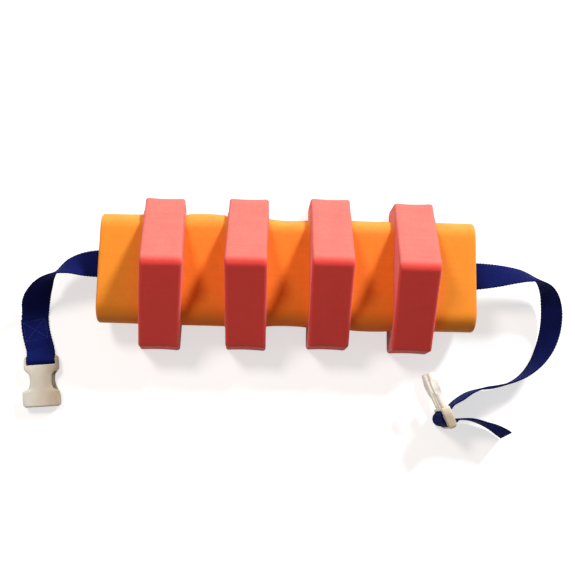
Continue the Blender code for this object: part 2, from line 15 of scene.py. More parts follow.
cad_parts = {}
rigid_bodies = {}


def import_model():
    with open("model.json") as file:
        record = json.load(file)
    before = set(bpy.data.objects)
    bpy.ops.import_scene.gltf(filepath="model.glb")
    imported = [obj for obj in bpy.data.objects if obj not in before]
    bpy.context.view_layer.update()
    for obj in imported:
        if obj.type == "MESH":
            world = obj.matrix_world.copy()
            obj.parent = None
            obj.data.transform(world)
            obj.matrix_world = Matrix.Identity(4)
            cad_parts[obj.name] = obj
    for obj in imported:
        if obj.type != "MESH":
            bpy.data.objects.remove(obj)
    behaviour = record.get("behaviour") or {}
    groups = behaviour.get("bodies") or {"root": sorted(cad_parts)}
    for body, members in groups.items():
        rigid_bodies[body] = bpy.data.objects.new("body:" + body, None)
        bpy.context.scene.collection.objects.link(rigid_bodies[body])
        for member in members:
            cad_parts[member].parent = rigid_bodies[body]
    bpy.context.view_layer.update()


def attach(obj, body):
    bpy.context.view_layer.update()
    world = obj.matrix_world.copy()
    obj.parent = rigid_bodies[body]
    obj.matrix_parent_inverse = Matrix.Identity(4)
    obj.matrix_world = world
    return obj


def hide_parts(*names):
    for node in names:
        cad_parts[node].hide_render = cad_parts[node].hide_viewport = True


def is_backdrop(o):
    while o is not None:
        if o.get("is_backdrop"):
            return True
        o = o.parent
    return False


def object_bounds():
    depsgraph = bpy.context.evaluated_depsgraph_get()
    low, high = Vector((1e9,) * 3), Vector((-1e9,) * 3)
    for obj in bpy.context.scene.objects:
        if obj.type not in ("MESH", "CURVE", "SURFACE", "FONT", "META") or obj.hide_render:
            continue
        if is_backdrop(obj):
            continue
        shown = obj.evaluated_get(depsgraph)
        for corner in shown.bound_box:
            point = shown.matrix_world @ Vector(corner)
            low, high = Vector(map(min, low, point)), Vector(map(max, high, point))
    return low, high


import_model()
bpy.ops.object.select_all(action="DESELECT")

# %% [markdown]
# The camera comes first, because everything is judged through it. The belt was photographed from
# almost straight above, a little from the near side and from about three quarters of a metre. Three
# turns describe that: the tilt towards the near side, the pan and the roll.
# %% Camera
CAMERA_PLACE = (-0.01969, -0.13271, 0.7482)
CAMERA_TURNS_DEG = {"tilt": 9.4516, "pan": 1.5525, "roll": -1.5909}
CAMERA_LENS_MM = 53.2174

turns = {name: math.radians(angle) for name, angle in CAMERA_TURNS_DEG.items()}
seen = Matrix.Rotation(turns["roll"], 3, "Z") @ Matrix.Rotation(turns["pan"], 3, "Y")
seen = seen @ Matrix.Rotation(-turns["tilt"], 3, "X")
bpy.ops.object.camera_add(location=CAMERA_PLACE, rotation=seen.transposed().to_euler())
camera = bpy.context.object
camera.data.lens = CAMERA_LENS_MM
bpy.context.scene.camera = camera
bpy.context.scene.view_settings.view_transform = "Standard"
print("the camera is", round(camera.location.z, 3), "m above the floor")

# %% [markdown]
# The webbing is next. It is one real strap of polypropylene, sold as 25 mm and 24 mm wide when it
# is measured, but its two free ends behave as flat cords, so each is a ribbon that follows a route.
# The route's points are the ones in the part's source: how far out from the slab's end, how far
# across, and how high. The lean turns the ribbon about its route, from lying flat at 0 to standing
# on its edge at 90 degrees.
# %% Routes
SLAB_LENGTH = 0.32
SLAB_MIDDLE = 0.0273
WEBBING_WIDTH = 0.024
WEBBING_THICKNESS = 0.0015
RING_STEP = 0.0006
UP = Vector((0, 0, 1))
LEFT_ROUTE = (
    (-0.01, 0.0035, 0.0273), (0.0, 0.0035, 0.0273),
    (0.012, 0.003, 0.0273), (0.0225, 0.0016, 0.0276), (0.032, -0.0016, 0.0282),
    (0.042, -0.0074, 0.0276), (0.0492, -0.0143, 0.0244), (0.0547, -0.0223, 0.0174),
    (0.0581, -0.0297, 0.0094), (0.0596, -0.035, 0.0034),
)
LEFT_LEANS_DEG = (0, 0, 16, 36, 58, 84, 108, 131, 155, 171)
RIGHT_ROUTE = (
    (-0.01, 0.0015, 0.0273), (0.0, 0.0015, 0.0273),
    (0.012, 0.0022, 0.0273), (0.024, 0.0029, 0.0274), (0.036, 0.0034, 0.0278),
    (0.047, 0.0032, 0.0274), (0.057, 0.0014, 0.0256), (0.065, -0.003, 0.022),
    (0.0702, -0.01, 0.018), (0.073, -0.02, 0.0147), (0.0735, -0.032, 0.0128),
    (0.0715, -0.045, 0.0121), (0.0667, -0.0585, 0.012), (0.0593, -0.071, 0.0123),
    (0.0488, -0.0816, 0.0128), (0.0365, -0.0886, 0.0129), (0.0235, -0.0924, 0.013),
    (0.011, -0.0944, 0.0133), (0.0, -0.0982, 0.0144), (-0.009, -0.104, 0.0156),
)
RIGHT_LEANS_DEG = (
    0, 0, -14, -29, -44, -57, -71, -88, -105, -117, -121, -120, -115, -105, -95, -89, -87, -89,
    -93, -95,
)
TAIL_ROUTE = (
    (0.0006, -0.121, 0.015), (0.012, -0.124, 0.014), (0.0197, -0.1268, 0.013),
    (0.0268, -0.1308, 0.0125), (0.0315, -0.1338, 0.0125),
)
TAIL_LEANS_DEG = (-91, -93, -98, -103, -104)


def out_from_slab(side, route):
    return [Vector((side * (SLAB_LENGTH / 2 + out), across, up)) for out, across, up in route]


def catmull(before, start, end, after, share):
    """A smooth value between start and end, which leaves and arrives as its neighbours ask."""
    leave, arrive = (end - before) / 2, (after - start) / 2
    square, cube = share ** 2, share ** 3
    return (
        start * (2 * cube - 3 * square + 1) + leave * (cube - 2 * square + share)
        + end * (3 * square - 2 * cube) + arrive * (cube - square)
    )


def shares_between(start, end):
    """Even shares of the way from start to end, close enough for the ribbon's sections."""
    steps = max(1, math.ceil((end - start).length / RING_STEP))
    return [step / steps for step in range(steps)]


def smooth_route(points, leans):
    """Close stations, each a place and a lean, on a smooth curve through the points."""
    stations = []
    last = len(points) - 1
    for k in range(last):
        around = (max(k - 1, 0), k, k + 1, min(k + 2, last))
        for share in shares_between(points[k], points[k + 1]):
            place = catmull(*[points[i] for i in around], share)
            stations.append((place, catmull(*[leans[i] for i in around], share)))
    return stations + [(points[-1], leans[-1])]


def directions(places):
    last = len(places) - 1
    return [
        (places[min(k + 1, last)] - places[max(k - 1, 0)]).normalized() for k in range(last + 1)
    ]


def leaned(stations):
    """Places with the direction across the ribbon, from places with leans in degrees."""
    made = []
    for (place, lean), ahead in zip(stations, directions([place for place, lean in stations])):
        level = UP.cross(ahead).normalized()
        angle = math.radians(lean)
        made.append((place, level * math.cos(angle) + ahead.cross(level) * math.sin(angle)))
    return made


print("routes of", len(LEFT_ROUTE), "and", len(RIGHT_ROUTE), "points")

# %% [markdown]
# Both buckle halves have axes of their own, and the webbing near them is easier to give along
# those. The socket half lies flat. The prong half stands on its edge, so across it is upwards.
# %% Where the buckle halves lie
SOCKET_BAR = Vector((-0.2111, -0.0792, 0.005))
SOCKET_HEADING = math.radians(-85)
PRONG_BAR = Vector((0.138, -0.1193, 0.0165))
PRONG_HEADING = math.radians(113)
SOCKET_ALONG = Vector((math.cos(SOCKET_HEADING), math.sin(SOCKET_HEADING), 0))
SOCKET_ACROSS = UP.cross(SOCKET_ALONG)
PRONG_ALONG = Vector((math.cos(PRONG_HEADING), math.sin(PRONG_HEADING), 0))
PRONG_OUT = PRONG_ALONG.cross(UP)


def on_socket(distance, sideways, height):
    place = SOCKET_BAR + SOCKET_ALONG * distance + SOCKET_ACROSS * sideways
    place.z = height
    return place


def threaded(distances):
    """Stations on the prong half, from distances along it and out of its face."""
    return [(PRONG_BAR + PRONG_ALONG * a + PRONG_OUT * b, -UP) for a, b in distances]


print("the halves lie", round((SOCKET_BAR - PRONG_BAR).length, 3), "m apart")

# %% [markdown]
# The left ribbon comes down to the floor, goes round the socket's bar and comes back on top of
# itself, where it is sewn. The right one reaches the prong half's frame, and its tail wraps the
# middle bar and leaves again.
# %% Stations of the ribbons
FOLD_ROUTE = (
    (-0.0405, -0.0055), (-0.0375, -0.0057), (-0.0305, -0.0054), (-0.0235, -0.0044),
    (-0.017, -0.003), (-0.0115, -0.0016),
)
FOLD_RISE = (-0.006, -0.0006)
LAYER = 0.0018
# How far a turn starts off the layer that it leaves
TURN_LIFT = LAYER / 6
FOLD_LOW = 0.0009
LOOP_RADIUS = 0.00275
LOOP_SIDEWAYS = -0.0003
LOOP_STEPS = 20
LEG_APPROACH = ((0.0053, 0.0058), (0.007, 0.009))
TAIL_APPROACH = ((-0.0064, 0.006), (-0.006, 0.0095))
WRAP_LEG = 0.006
WRAP_SHIFT = -0.0007
WRAP_START = 0.002
WRAP_REACH = 0.0068
WRAP_LEAN = math.radians(10)
LEG_END = 0.0025
UPSIDE_DOWN_DEG = 180
ON_EDGE_DEG = -90


def closer(stations):
    """Fills long steps with stations in between."""
    made = []
    for (place, across), (place_after, across_after) in zip(stations, stations[1:]):
        for share in shares_between(place, place_after):
            between = across.lerp(across_after, share).normalized()
            made.append((place.lerp(place_after, share), between))
    return made + [stations[-1]]


def left_stations():
    flat = [on_socket(distance, sideways, FOLD_LOW) for distance, sideways in FOLD_ROUTE]
    points = out_from_slab(-1, LEFT_ROUTE) + flat
    under = leaned(smooth_route(points, LEFT_LEANS_DEG + (UPSIDE_DOWN_DEG,) * len(flat)))
    sewn = [
        station for station in under
        if station[0].y < 0 and (station[0] - SOCKET_BAR).dot(SOCKET_ALONG) > FOLD_ROUTE[1][0]
    ]
    turn = [(on_socket(*FOLD_RISE, FOLD_LOW + TURN_LIFT), -SOCKET_ACROSS)]
    for k in range(LOOP_STEPS + 1):
        angle = math.pi * k / LOOP_STEPS - math.pi / 2
        height = SOCKET_BAR.z + LOOP_RADIUS * math.sin(angle)
        ahead = LOOP_RADIUS * math.cos(angle)
        turn.append((on_socket(ahead, LOOP_SIDEWAYS, height), -SOCKET_ACROSS))
    height = (SOCKET_BAR.z + LOOP_RADIUS + FOLD_LOW + LAYER) / 2
    turn.append((on_socket(*FOLD_RISE, height), -SOCKET_ACROSS))
    over = [(place + UP * LAYER, across) for place, across in sewn[::-1]]
    return closer(under + turn + over)


def right_stations():
    legs = threaded([*LEG_APPROACH[::-1], (WRAP_LEG + WRAP_SHIFT, LEG_END)])
    points = out_from_slab(1, RIGHT_ROUTE) + [place for place, across in legs]
    leans = RIGHT_LEANS_DEG + (ON_EDGE_DEG,) * len(legs)
    return closer(leaned(smooth_route(points, leans)))


def tail_stations():
    turn = threaded([(WRAP_LEG + WRAP_SHIFT, LEG_END - TURN_LIFT)])
    for k in range(LOOP_STEPS + 1):
        angle = math.pi * k / LOOP_STEPS
        bulge = math.sin(angle)
        depth = WRAP_START + (WRAP_REACH - WRAP_START) * bulge
        [(place, down)] = threaded([(WRAP_LEG * math.cos(angle) + WRAP_SHIFT, -depth)])
        turn.append((place, (down - PRONG_OUT * math.tan(WRAP_LEAN) * bulge).normalized()))
    start = [place for place, across in threaded(TAIL_APPROACH)]
    points = start + out_from_slab(1, TAIL_ROUTE)
    leans = (ON_EDGE_DEG,) * len(start) + TAIL_LEANS_DEG
    wrap = turn + threaded([(WRAP_SHIFT - WRAP_LEG, LEG_END)])
    return closer(wrap + leaned(smooth_route(points, leans)))


# %% [markdown]
# A ribbon is lofted: a thin section of the webbing is set at each station and the sections are
# joined. The yarns that turn round at the edges make small teeth there, which is how webbing is
# told from tape, so the section's width swells and shrinks a little from station to station. The
# UV map holds real millimetres along and across, for the weave.
# %% Ribbons of webbing
TOOTH_PITCH = 0.0027
TOOTH_DEPTH = 0.00035
# Shares of the half width, and of the half thickness there
SECTION = (
    (1.0, 0.0), (0.99, 0.55), (0.96, 0.85), (0.88, 0.97), (0.7, 1.0), (0.45, 1.0), (0.2, 1.0),
    (-0.2, 1.0), (-0.45, 1.0), (-0.7, 1.0), (-0.88, 0.97), (-0.96, 0.85), (-0.99, 0.55),
)
MILLIMETRE = 0.001
FLOOR_CLEARANCE = 0.0001
# The hidden stretch ends just short of the free ends, which start 10 mm inside the slit
CORE_END = SLAB_LENGTH / 2 - 0.0103


def hand_over(piece, body, node):
    """Says on which body a piece rides, and hides the solid that it dresses."""
    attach(piece, body)
    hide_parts(node)


def ribbon(name, stations, node):
    """Webbing lofted through stations, each a place and the direction across it."""
    shape = bmesh.new()
    uv_map = shape.loops.layers.uv.new("weave")
    outline = list(SECTION) + [(-width, -thick) for width, thick in SECTION]
    places = [place for place, across in stations]
    rings, travelled, walked = [], [], 0.0
    for number, ((place, across), ahead) in enumerate(zip(stations, directions(places))):
        walked += (place - places[max(number - 1, 0)]).length
        tooth = math.cos(math.tau * walked / TOOTH_PITCH)
        half = WEBBING_WIDTH / 2 - TOOTH_DEPTH / 2 + TOOTH_DEPTH / 2 * tooth
        over = ahead.cross(across).normalized() * WEBBING_THICKNESS / 2
        corners = [place + across * half * width + over * thick for width, thick in outline]
        for corner in corners:
            corner.z = max(corner.z, FLOOR_CLEARANCE)
        rings.append([shape.verts.new(corner) for corner in corners])
        travelled.append(walked)
    count = len(outline)
    for number, (ring, following) in enumerate(zip(rings, rings[1:])):
        for k in range(count):
            after = (k + 1) % count
            face = shape.faces.new((ring[k], ring[after], following[after], following[k]))
            face.smooth = True
            corners = ((number, k), (number, k + 1), (number + 1, k + 1), (number + 1, k))
            for loop, (station, corner) in zip(face.loops, corners):
                width = outline[corner % count][0] * WEBBING_WIDTH / 2
                loop[uv_map].uv = (travelled[station] / MILLIMETRE, width / MILLIMETRE)
    shape.faces.new(rings[0])
    shape.faces.new(rings[-1])
    bmesh.ops.recalc_face_normals(shape, faces=shape.faces)
    mesh = bpy.data.meshes.new(name)
    shape.to_mesh(mesh)
    shape.free()
    strap = bpy.data.objects.new(name, mesh)
    bpy.context.collection.objects.link(strap)
    hand_over(strap, "root", node)
    print(name, "is", round(walked, 3), "m long")
    return strap, places


left_strap, left_path = ribbon("strap_left", left_stations(), "webbing_left")
right_strap, right_path = ribbon("strap_right", right_stations(), "webbing_right")
tail_strap = ribbon("strap_tail", tail_stations(), "webbing_tail")[0]
core_ends = [
    Vector((-CORE_END, LEFT_ROUTE[0][1], SLAB_MIDDLE)),
    Vector((CORE_END, RIGHT_ROUTE[0][1], SLAB_MIDDLE)),
]
core_stations = leaned(smooth_route(core_ends, (0, 0)))
core_strap = ribbon("strap_core", core_stations, "webbing_core")[0]

# %% [markdown]
# Hard and foam pieces are modelled by hand: a primitive is added at its size, shaped in edit mode,
# and cut or rounded by modifiers. Faces, edges and points are picked by where they are, so a small
# helper selects them by a test, and another applies a modifier with its settings.
# %% Helpers for modelling
TINY = 1e-6


def start_from_cube(name, low, high):
    """A cube primitive stretched between two corners, left in edit mode."""
    centre = (Vector(low) + Vector(high)) / 2
    bpy.ops.mesh.primitive_cube_add(size=1, location=centre, scale=Vector(high) - Vector(low))
    piece = bpy.context.object
    piece.name = piece.data.name = name
    bpy.ops.object.transform_apply()
    bpy.ops.object.mode_set(mode="EDIT")
    return piece


def pick(kind, test):
    """Selects the faces, edges or points that pass the test, and returns how many."""
    bpy.ops.mesh.select_mode(type=kind)
    bpy.ops.mesh.select_all(action="DESELECT")
    shape = bmesh.from_edit_mesh(bpy.context.edit_object.data)
    things = {"FACE": shape.faces, "EDGE": shape.edges, "VERT": shape.verts}[kind]
    found = [thing for thing in things if test(thing)]
    for thing in found:
        thing.select_set(True)
    shape.select_flush_mode()
    bmesh.update_edit_mesh(bpy.context.edit_object.data)
    return len(found)


def middle(edge):
    return (edge.verts[0].co + edge.verts[1].co) / 2


def along(edge, axis, slack=0.02):
    """True if the edge runs along axis 0, 1 or 2."""
    run = edge.verts[1].co - edge.verts[0].co
    return run.length > 0 and abs(abs(run.normalized()[axis]) - 1) < slack


def slice_across(axis, places):
    """Cuts the whole piece by planes across an axis."""
    for place in places:
        bpy.ops.mesh.select_all(action="SELECT")
        point, normal = Vector(), Vector()
        point[axis], normal[axis] = place, 1
        bpy.ops.mesh.bisect(plane_co=point, plane_no=normal)


def round_edges(test, width, segments):
    if pick("EDGE", test):
        bpy.ops.mesh.bevel(offset=width, segments=segments, affect="EDGES")


def activate(piece):
    bpy.ops.object.select_all(action="DESELECT")
    bpy.context.view_layer.objects.active = piece
    piece.select_set(True)


def enter_edit(piece):
    activate(piece)
    bpy.ops.object.mode_set(mode="EDIT")


def leave_edit():
    bpy.ops.object.mode_set(mode="OBJECT")
    bpy.ops.object.select_all(action="DESELECT")


def apply_modifier(piece, kind, **settings):
    activate(piece)
    modifier = piece.modifiers.new(kind.lower(), kind)
    for name, value in settings.items():
        setattr(modifier, name, value)
    bpy.ops.object.modifier_apply(modifier=modifier.name)


def combine(piece, tool, operation):
    """Cuts the tool from the piece, or joins it on, and removes the tool."""
    apply_modifier(piece, "BOOLEAN", operation=operation, solver="EXACT", object=tool)
    bpy.data.objects.remove(tool)


def smooth(piece, angle_deg=40):
    activate(piece)
    bpy.ops.object.shade_smooth_by_angle(angle=math.radians(angle_deg))
    piece.select_set(False)


# %% [markdown]
# The slab is closed-cell foam cut to length, with its long sides rounded. It starts as a cube whose
# four long edges get a wide bevel and whose ends get a small one. A thin box cuts the slit for the
# webbing. The slab is divided along its length, because the photograph shows that it isn't
# straight: between some of the floats it is drawn in, and between others it swells.
# %% The slab
SLAB_WIDTH = 0.095
SLAB_THICKNESS = 0.034
SLAB_ROUNDING = 0.0155
SLAB_SEGMENTS = 10
SLAB_END_ROUNDING = 0.0018
SLAB_END_SEGMENTS = 4
SLAB_CUTS_ALONG = 95
SLAB_CUTS_ACROSS = 7
SLIT_SIZE = (0.034, 0.0023)
FLOAT_PLACES = (-0.1065, -0.0355, 0.0355, 0.1065)
FLOAT_THICKNESS = 0.035
# How far the slab's far and near sides draw in, or swell where negative: before the first float,
# in each bay, and after the last float
SAGS = (
    (0.0004, 0.0004), (-0.0021, 0.0001), (0.002, 0.0015), (0.0004, -0.0013), (-0.0002, 0.0002),
)
SAG_STEEPNESS = 0.35
SAG_BEYOND_END = 0.015
# The top and the underside wander a little, and follow the sides inwards by a share
WAVES_PER_METRE = 22
WAVE_LAYER = 3.0
WAVE_DEPTH = 0.00035
THINNING = 0.15


def slab_block(name, length, room=0.0, end_rounding=0.0):
    """The slab's rounded section over a length, larger all round by the room."""
    half = Vector((length / 2, SLAB_WIDTH / 2 + room, SLAB_THICKNESS / 2 + room))
    lift = Vector((0, 0, SLAB_MIDDLE))
    block = start_from_cube(name, lift - half, lift + half)
    round_edges(lambda edge: along(edge, 0), SLAB_ROUNDING + room, SLAB_SEGMENTS)
    if end_rounding:
        round_edges(
            lambda edge: abs(abs(middle(edge).x) - length / 2) < TINY and not along(edge, 0),
            end_rounding, SLAB_END_SEGMENTS,
        )
    return block


def slab_sag(x):
    """How far the far and the near side draw in at a place along the slab."""
    edges = [-SLAB_LENGTH / 2 - SAG_BEYOND_END]
    for place in FLOAT_PLACES:
        edges += [place - FLOAT_THICKNESS / 2, place + FLOAT_THICKNESS / 2]
    edges.append(SLAB_LENGTH / 2 + SAG_BEYOND_END)
    for (start, end), sags in zip(zip(edges[::2], edges[1::2]), SAGS):
        if start < x < end:
            share = math.sin(math.pi * (x - start) / (end - start)) ** SAG_STEEPNESS
            return [sag * share for sag in sags]
    return 0.0, 0.0


slab = slab_block("slab_foam", SLAB_LENGTH, end_rounding=SLAB_END_ROUNDING)
pick("EDGE", lambda edge: along(edge, 0) and edge.calc_length() > SLAB_LENGTH / 2)
bpy.ops.mesh.subdivide(number_cuts=SLAB_CUTS_ALONG)
pick("EDGE", lambda edge: along(edge, 1) and edge.calc_length() > SLAB_WIDTH / 3)
bpy.ops.mesh.subdivide(number_cuts=SLAB_CUTS_ACROSS)
leave_edit()
slit_half = Vector((SLAB_LENGTH, SLIT_SIZE[0] / 2, SLIT_SIZE[1] / 2))
slit_lift = Vector((0, 0, SLAB_MIDDLE))
slit = start_from_cube("slit", slit_lift - slit_half, slit_lift + slit_half)
leave_edit()
combine(slab, slit, "DIFFERENCE")
for vertex in slab.data.vertices:
    place = vertex.co
    far, near = slab_sag(place.x)
    share = min(1.0, abs(place.y) / (SLAB_WIDTH / 2)) ** 2
    place.y -= (far if place.y > 0 else -near) * share
    if abs(place.z - SLAB_MIDDLE) > SLIT_SIZE[1] and (far, near) != (0, 0):
        at = Vector((place.x * WAVES_PER_METRE, place.y * WAVES_PER_METRE, WAVE_LAYER))
        inwards = WAVE_DEPTH + WAVE_DEPTH * noise.noise(at) + max(far + near, 0) * THINNING
        place.z -= math.copysign(inwards, place.z - SLAB_MIDDLE)
smooth(slab)
hand_over(slab, "root", "core_slab")
print("the slab has", len(slab.data.polygons), "faces")

# %% [markdown]
# A float is a block of foam with two roof faces in front and a hole through which the slab passes.
# The cube is cut through its middle, the new top edge is lifted to the ridge, and the edges along
# the belt are rounded by the amounts that their angles ask for, and then all edges of the two side
# faces. The slab's own section, a little larger, cuts the hole. Slices make the faces fine enough
# to draw in and lean, which each of the four copies does in its own way.
# %% The floats
FLOAT_WIDTH = 0.13
FLOAT_SHOULDER = 0.0318
FLOAT_RIDGE = 0.0818
FLOAT_GAP = 0.0003
# Roundings of the edges along the belt, each a width and a number of segments
BACK_ROUNDING = (0.005, 6)
SHOULDER_ROUNDING = (0.0025, 5)
RIDGE_ROUNDING = (0.0054, 8)
FACE_ROUNDING = 0.0026
FACE_SEGMENTS = 4
SIDEWAYS = 0.9
GRID_STEP = 0.005
# The noise that makes the faces wander starts from the clock unless it is given a seed
WANDER_SEED = 3

noise.seed_set(WANDER_SEED)


def grid(start, end):
    count = round((end - start) / GRID_STEP)
    return [start + (end - start) * k / count for k in range(1, count)]


def in_hole(place, room):
    half_width, half_thickness = SLAB_WIDTH / 2 + room, SLAB_THICKNESS / 2 + room
    return abs(place.y) < half_width and abs(place.z - SLAB_MIDDLE) < half_thickness


def belt_edge(height, beyond=-1.0):
    """A test for the edges along the belt at a height, farther out than beyond."""
    def passes(edge):
        at = middle(edge)
        return along(edge, 0) and abs(at.z - height) < MILLIMETRE and abs(at.y) > beyond
    return passes


def float_block():
    half = FLOAT_THICKNESS / 2
    block = start_from_cube(
        "float_foam", (-half, -FLOAT_WIDTH / 2, 0), (half, FLOAT_WIDTH / 2, FLOAT_SHOULDER)
    )
    slice_across(1, [0])
    pick("VERT", lambda vertex: abs(vertex.co.y) < TINY and vertex.co.z > FLOAT_SHOULDER / 2)
    bpy.ops.transform.translate(value=(0, 0, FLOAT_RIDGE - FLOAT_SHOULDER))
    round_edges(belt_edge(0, beyond=FLOAT_WIDTH / 4), *BACK_ROUNDING)
    round_edges(belt_edge(FLOAT_SHOULDER), *SHOULDER_ROUNDING)
    round_edges(belt_edge(FLOAT_RIDGE), *RIDGE_ROUNDING)
    round_edges(
        lambda edge: abs(abs(middle(edge).x) - half) < TINY and not along(edge, 0)
        and len([face for face in edge.link_faces if abs(face.normal.x) > SIDEWAYS]) == 1,
        FACE_ROUNDING, FACE_SEGMENTS,
    )
    leave_edit()
    hole = slab_block("hole", FLOAT_THICKNESS * 3, room=FLOAT_GAP)
    leave_edit()
    combine(block, hole, "DIFFERENCE")
    enter_edit(block)
    slice_across(0, grid(-half + FACE_ROUNDING, half - FACE_ROUNDING))
    slice_across(1, grid(-FLOAT_WIDTH / 2, FLOAT_WIDTH / 2))
    slice_across(2, grid(0, FLOAT_RIDGE))
    leave_edit()
    return block


# Each float leans its own way: along the belt at its far shoulder, ridge and near shoulder, and
# across the belt
FLOAT_LEANS = (
    (-0.0012, 0.0034, -0.0015, -0.0023), (0.0006, 0.0002, 0.001, -0.0008),
    (0.0, 0.0002, 0.0, 0.0012), (0.0018, -0.0006, 0.0003, -0.0005),
)
# Points this near to the hole only lean, so that the float keeps its fit on the slab
GRIP_ROOM = 0.0012
FLAT_BACK = 0.0005
SIDE_HOLLOW = 0.0008
SIDE_STEEPNESS = 4
ROOF_HOLLOW = 0.0006
WAIST_SHARE = 0.02
WANDER_DEPTH = 0.0004
WANDERS_PER_METRE = 20
WANDERS_APART = 7


def settle_float(block, number):
    """Draws the faces in a little between their edges and leans the block, as real foam does."""
    half = FLOAT_THICKNESS / 2
    far_lean, ridge_lean, near_lean, across_lean = FLOAT_LEANS[number - 1]
    for vertex in block.data.vertices:
        place = vertex.co
        side_lean = far_lean if place.y > 0 else near_lean
        height_share = (place.z - SLAB_MIDDLE) / (FLOAT_RIDGE - SLAB_MIDDLE)
        lean = ridge_lean * height_share + side_lean * abs(place.y) / (FLOAT_WIDTH / 2)
        if in_hole(place, GRIP_ROOM):
            place.x += lean
            continue
        middle_share = 1 - (place.x / half) ** 2
        at = [value * WANDERS_PER_METRE for value in place]
        wander = noise.noise_vector(Vector((at[0], at[1], at[2] + number * WANDERS_APART)))
        off_back = 0.0 if place.z < FLAT_BACK else 1.0
        side = min(1.0, abs(place.y) / (FLOAT_WIDTH / 2)) ** SIDE_STEEPNESS
        place.y -= math.copysign(side, place.y) * SIDE_HOLLOW * middle_share
        roof = 1.0 if place.z > FLOAT_SHOULDER else 0.0
        place.z -= ROOF_HOLLOW * middle_share * roof
        place += wander * WANDER_DEPTH * off_back
        waist = math.sin(math.pi * min(1.0, place.z / FLOAT_RIDGE))
        place.x *= 1 - WAIST_SHARE * waist * off_back
        place.x += lean
        place.y += across_lean
        place.z = max(place.z, 0.0)


first_block = float_block()
for number, x in enumerate(FLOAT_PLACES, start=1):
    block = first_block.copy()
    block.data = first_block.data.copy()
    block.name = block.data.name = f"float_foam_{number}"
    bpy.context.collection.objects.link(block)
    settle_float(block, number)
    block.data.transform(Matrix.Translation((x, 0, 0)))
    smooth(block)
    hand_over(block, f"float_{number}", f"float_block_{number}")
bpy.data.objects.remove(first_block)
print("a float has", len(block.data.polygons), "faces")

# %% [markdown]
# The buckle is moulded, and a moulding has no hard edges and few flat faces. Each half is modelled
# about its own bar: x runs towards the mouth or the tips, y across and z out of the face. Cuts are
# made at stations along a cube, and each cut is drawn in or out to the outline by a resize. A last
# turn and move brings the finished mesh to its place on the strap.
# %% Helpers for moulded parts
STATION_SLACK = 1e-5
SLIVER = 8e-6
TOOL_SEGMENTS = 4
BAR_SIDES = 28
# How much longer a bar is than its gap, so that its ends sink in
BAR_SINK = 0.0012


def resize_station(x, factors, test=lambda place: True):
    """Resizes the points at a station about the long axis."""
    pick("VERT", lambda v: abs(v.co.x - x) < STATION_SLACK and test(v.co))
    bpy.ops.transform.resize(value=factors, center_override=(x, 0, 0))


def tool_box(low, high, rounded=None, width=0.0):
    """A box that cuts or joins another piece, with some of its edges rounded."""
    tool = start_from_cube("tool", low, high)
    if rounded:
        round_edges(rounded, width, TOOL_SEGMENTS)
    leave_edit()
    return tool


def tool_bar(radius, length):
    """A round bar across a piece, at its origin."""
    bpy.ops.mesh.primitive_cylinder_add(
        vertices=BAR_SIDES, radius=radius, depth=length, rotation=(math.pi / 2, 0, 0)
    )
    bar = bpy.context.object
    bpy.ops.object.transform_apply()
    return bar


def sharp(edge, angle_deg):
    return len(edge.link_faces) == 2 and edge.calc_face_angle(0) > math.radians(angle_deg)


def clean(piece):
    """Merges doubled points and closes up the slivers that cuts leave."""
    enter_edit(piece)
    bpy.ops.mesh.select_all(action="SELECT")
    bpy.ops.mesh.remove_doubles(threshold=SLIVER)
    bpy.ops.mesh.dissolve_degenerate(threshold=SLIVER)
    bpy.ops.mesh.fill_holes(sides=6)
    leave_edit()


def settle(piece, bar, turn, body, node):
    """Brings a finished moulding to its place and hands it to its body."""
    piece.data.transform(Matrix.Translation(bar) @ turn)
    hand_over(piece, body, node)
    print(piece.name, "has", len(piece.data.polygons), "faces")


SOCKET_TURN = Matrix.Rotation(SOCKET_HEADING, 4, "Z")
PRONG_TURN = Matrix.Rotation(PRONG_HEADING, 4, "Z") @ Matrix.Rotation(math.pi / 2, 4, "X")

# %% [markdown]
# The socket half is a flat shell with a waist where the fingers press. Seen from above it has a
# small hook at each side, where the window for the prong's pad ends, while its lower face runs
# to the mouth in one smooth curve. So each station has a half width on top and one below. The top
# is crowned, which with the painted shade of its finish makes it run from light to dark across.
# One box cuts the hollow and one the slot for the webbing. Inside the hollow a guide wall and a
# lower window sill are joined on at each side, and last comes the round bar across the slot.
# %% The socket half
SOCKET_HALF_WIDTH = 0.015
SOCKET_HALF_THICKNESS = 0.0047
SOCKET_CROWN = 0.0011
SOCKET_STRIPS = 8
# Along the socket from its bar, half width on top, half width below
SOCKET_STATIONS = (
    (-0.004, 0.013, 0.013), (-0.0032, 0.0139, 0.0139), (-0.0015, 0.0143, 0.0143),
    (0.006, 0.0145, 0.0145), (0.0078, 0.014, 0.0142), (0.01, 0.0118, 0.0124),
    (0.0118, 0.0102, 0.0112), (0.014, 0.0095, 0.0107), (0.018, 0.0093, 0.0108),
    (0.0212, 0.0094, 0.0117), (0.0236, 0.0102, 0.0127), (0.0252, 0.0125, 0.0134),
    (0.0262, 0.0157, 0.0139), (0.0276, 0.0158, 0.0145), (0.031, 0.0156, 0.0153),
    (0.0355, 0.0156, 0.0157), (0.038, 0.0151, 0.0154), (0.0395, 0.0137, 0.014),
)
HOLLOW_LOW = (0.0096, -0.0135, -0.0033)
HOLLOW_HIGH = (0.0445, 0.0135, 0.0033)
FLOOR_SINK = 0.0004
ROOF_SINK = 0.0003
